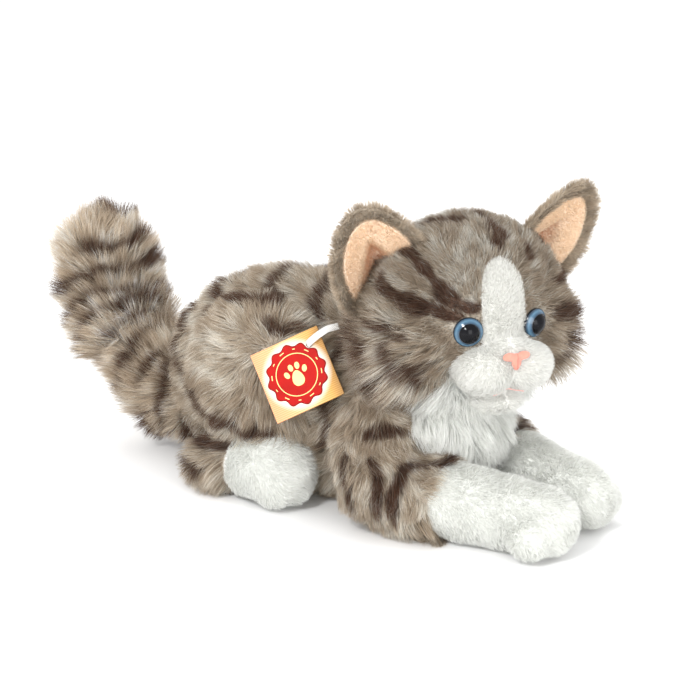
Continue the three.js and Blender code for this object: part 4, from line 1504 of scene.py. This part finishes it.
def card_material():
    """Coated card: peach to gold across it, finely ruled, and white where it fades round the seal."""
    material, tree, shader = new_material("printed_card")
    right, up = along_card(tree, TAG.rows[1]), along_card(tree, TAG.rows[2])
    share = maths(tree, "ADD", maths(tree, "DIVIDE", right, 2 * TAG_HALF * MM), 0.5)
    colour = ramp(tree, share, [(0.05, srgb(238, 172, 130)), (0.5, srgb(240, 194, 140)),
                                (0.85, srgb(212, 168, 98)), (1.0, srgb(170, 130, 76))])
    wave = maths(tree, "SINE", maths(tree, "MULTIPLY", up, 2 * math.pi / RULED))
    height = maths(tree, "ADD", maths(tree, "MULTIPLY", wave, 0.5), 0.5)
    rule = ramp(tree, height, [(0.2, (0.84, 0.72, 0.58)), (0.8, UNCHANGED)])
    ruled = mixed(tree, "MULTIPLY", 1.0, colour, rule)
    square = maths(tree, "ADD", maths(tree, "MULTIPLY", right, right), maths(tree, "MULTIPLY", up, up))
    reach = maths(tree, "DIVIDE", maths(tree, "SQRT", square), TAG_HALF * MM)
    fade = {"Value": reach, "From Min": 0.8, "From Max": 1.0, "To Min": 0.85, "To Max": 0.0}
    glow = node(tree, "ShaderNodeMapRange", fade).outputs[0]
    feed(tree, shader, {"Base Color": mixed(tree, "MIX", glow, ruled, (0.8, 0.79, 0.75, 1)),
                        "Normal": bump(tree, noise(tree, 1500, 4), 0.08, 0.1),
                        "Roughness": 0.5, "Specular IOR Level": 0.2})
    return material


def ink_material(name, colour, deep):
    """Printed ink with slight unevenness."""
    stops = [(0.3, deep), (0.65, colour)]
    return mottled(name, 130, 4, stops, {"Roughness": 0.5, "Specular IOR Level": 0.15})


def printed(name, shapes, low, high, material):
    """Flat inked shapes on the front leaf, each an outline of (right, up) points."""
    points, faces = [], []
    for shape in shapes:
        start, count = len(points), len(shape)
        for lift in (low, high):
            points += [(lift, right, up) for right, up in shape]
        faces.append(tuple(start + k for k in range(count))[::-1])
        faces.append(tuple(start + count + k for k in range(count)))
        for k in range(count):
            after = (k + 1) % count
            faces.append((start + k, start + after, start + count + after, start + count + k))
    mesh = mesh_from(name, TAG.world(points), faces)
    for polygon in mesh.polygons:
        polygon.use_smooth = False
    piece = link(mesh, name)
    mesh.materials.append(material)
    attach(piece, "tag")
    return piece


def disc(centre, radii, steps, lobes=0, depth=0.0, turn=0.0):
    """An ellipse, turned, with so many lobes round its edge."""
    shape = []
    for k in range(steps):
        angle = 2 * math.pi * k / steps
        scale = 1 + depth * math.cos(lobes * angle)
        x, y = radii[0] * scale * math.cos(angle), radii[1] * scale * math.sin(angle)
        across = centre[0] + x * math.cos(turn) - y * math.sin(turn)
        shape.append((across, centre[1] + x * math.sin(turn) + y * math.cos(turn)))
    return shape


def arc_band(radius, width, start, end, steps=8):
    """A short curved bar."""
    angles = np.radians(np.linspace(start, end, steps))
    outer = [((radius + width / 2) * math.cos(a), (radius + width / 2) * math.sin(a)) for a in angles]
    inner = [((radius - width / 2) * math.cos(a), (radius - width / 2) * math.sin(a)) for a in angles[::-1]]
    return outer + inner


SEAL_SHADOW_LAYER, SEAL_LAYER, PRINT_LAYER = (0.02, 0.14), (0.14, 0.3), (0.3, 0.36)  # heights over the card: the seal's painted shadow, the seal and its print
SEAL_LOBES, SEAL_SCALLOP = 12, 0.055
RING_BARS = 6
HOLE_INSET = 7.5  # from the card's edges to the middle of its hole


def scalloped(radius):
    return disc((0, 0), (radius, radius), 180, SEAL_LOBES, SEAL_SCALLOP)


def seal_print():
    """A broken ring, a dash in each lobe of the seal, and a paw print."""
    turn = 360 // RING_BARS
    bars = [arc_band(SEAL_RADIUS * 0.73, 0.45, start, start + turn, 16) for start in range(0, 360, turn)]
    for k in range(SEAL_LOBES):
        middle = 360 * (k + 0.5) / SEAL_LOBES
        spread = 5.5 if k % 2 else 3.0
        bars.append(arc_band(SEAL_RADIUS * 0.88, 0.5, middle - spread, middle + spread))
    pad = disc((0, -2.2), (4.3, 3.3), 36, 3, 0.06, math.pi / 2)
    toe_places = ((-5.2, 1.6), (-1.9, 4.6), (1.9, 4.6), (5.2, 1.6))
    toes = [disc((x, y), (1.35, 1.95), 24, turn=-x * 0.07) for x, y in toe_places]
    return bars + [pad] + toes


def add_tag():
    card = card_material()
    for leaf in ("tag_front_leaf", "tag_back_leaf"):
        mesh = frame["nodes"][leaf].data
        mesh.materials.clear()
        mesh.materials.append(card)
    seal_shadow_ink = ink_material("seal_shadow_red_ink", RED * 0.55, RED * 0.4)
    red_ink = ink_material("red_ink", RED, RED * 0.8)
    cream_ink = ink_material("cream_ink", CREAM, CREAM * 0.85)
    # Painted shadow: a darker red rim just outside the seal stands in for the shade round its raised edge.
    printed("tag_seal_shadow", [scalloped(SEAL_RADIUS * 1.04)], *SEAL_SHADOW_LAYER, seal_shadow_ink)
    printed("tag_seal", [scalloped(SEAL_RADIUS)], *SEAL_LAYER, red_ink)
    printed("tag_print", seal_print(), *PRINT_LAYER, cream_ink)
    corner = TAG_HALF - HOLE_INSET
    anchor = TAG.local(pivot("tag_swing")[None])[0]
    # Out of the back of the hole, through it to the front, and up to the seam.
    stops = [(-4, corner + 1.5, corner + 1.5), (-2, corner - 0.6, corner), (0.6, corner - 0.8, corner),
             (2.0, corner + 2.5, corner + 0.9), (2.2, corner + 8, corner + 2.2),
             (1.0, corner + 13, corner + 3), tuple(anchor)]
    strap = tube("tag_strap", TAG.world(curve_through(stops, 8)), 2.0, 16, 0.2, TAG.rows[2])
    milky = [(0.3, (0.84, 0.83, 0.8)), (0.7, (0.93, 0.92, 0.9))]
    plastic = mottled("clear_strap", 400, 3, milky, {"Roughness": 0.28, "Transmission Weight": 0.35})
    strap.data.materials.append(plastic)
    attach(strap, "tag")
    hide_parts("tag_loop")


def add_washers():
    ivory = [(0.3, (0.8, 0.79, 0.76)), (0.7, (0.9, 0.89, 0.87))]
    material = mottled("moulded_washer", 250, 3, ivory, {"Roughness": 0.45})
    for word in SIDES:
        mesh = frame["nodes"][f"eye_washer_{word}"].data
        mesh.materials.clear()
        mesh.materials.append(material)


add_eyes()
add_nose()
add_mouth()
lining_cloth = lining_material()
for number, (word, side) in enumerate(SIDES.items()):
    add_ear(number, word, side, lining_cloth)
add_tag()
add_washers()

# ---- Floor, light and camera ----

AIM = (Vector(CAD_BOX[0]) + Vector(CAD_BOX[1])) / 2 + Vector((0.0193, 0, 0.0013))


def stand(name, data, azimuth, elevation, distance):
    """Puts a camera or light so far from the toy, facing it; azimuth 0 looks along +Y. Angles in degrees."""
    around, high = math.radians(azimuth), math.radians(elevation)
    level = math.cos(high)
    towards = Vector((math.sin(around) * level, -math.cos(around) * level, math.sin(high)))
    made = link(data, name)
    made.location = AIM + towards * distance
    made.rotation_euler = (-towards).to_track_quat("-Z", "Y").to_euler()
    return made


def add_light(name, azimuth, elevation, distance, size, watts):
    data = bpy.data.lights.new(name, "AREA")
    data.size = size
    data.energy = watts
    stand(name, data, azimuth, elevation, distance)


def add_floor():
    half = 14 / MM
    corners = [(-half, -half, 0), (half, -half, 0), (half, half, 0), (-half, half, 0)]
    floor = link(mesh_from("floor", corners, [(0, 1, 2, 3)]), "floor")
    material, tree, shader = new_material("pale_floor")
    feed(tree, shader, {"Base Color": (0.93, 0.93, 0.93, 1), "Roughness": 0.9, "Specular IOR Level": 0.1})
    floor.data.materials.append(material)


def add_world():
    world = bpy.data.worlds.new("studio")
    bpy.context.scene.world = world
    world.use_nodes = True
    background = world.node_tree.nodes["Background"]
    background.inputs["Color"].default_value = (1, 1, 1, 1)
    background.inputs["Strength"].default_value = 1.15


def add_camera():
    data = bpy.data.cameras.new("camera")
    data.sensor_width = 36
    data.lens = 120.3
    data.shift_x = 0.008
    data.shift_y = -0.0244
    data.clip_end = 60
    bpy.context.scene.camera = stand("camera", data, azimuth=36, elevation=15.7, distance=1.3)


add_floor()
add_world()
add_camera()
add_light("key", azimuth=12, elevation=34, distance=1.4, size=0.25, watts=10)
add_light("fill", azimuth=55, elevation=12, distance=1.5, size=0.9, watts=9)
add_light("rim", azimuth=225, elevation=40, distance=1.5, size=0.8, watts=6)
bpy.context.scene.view_settings.view_transform = "Standard"

import json
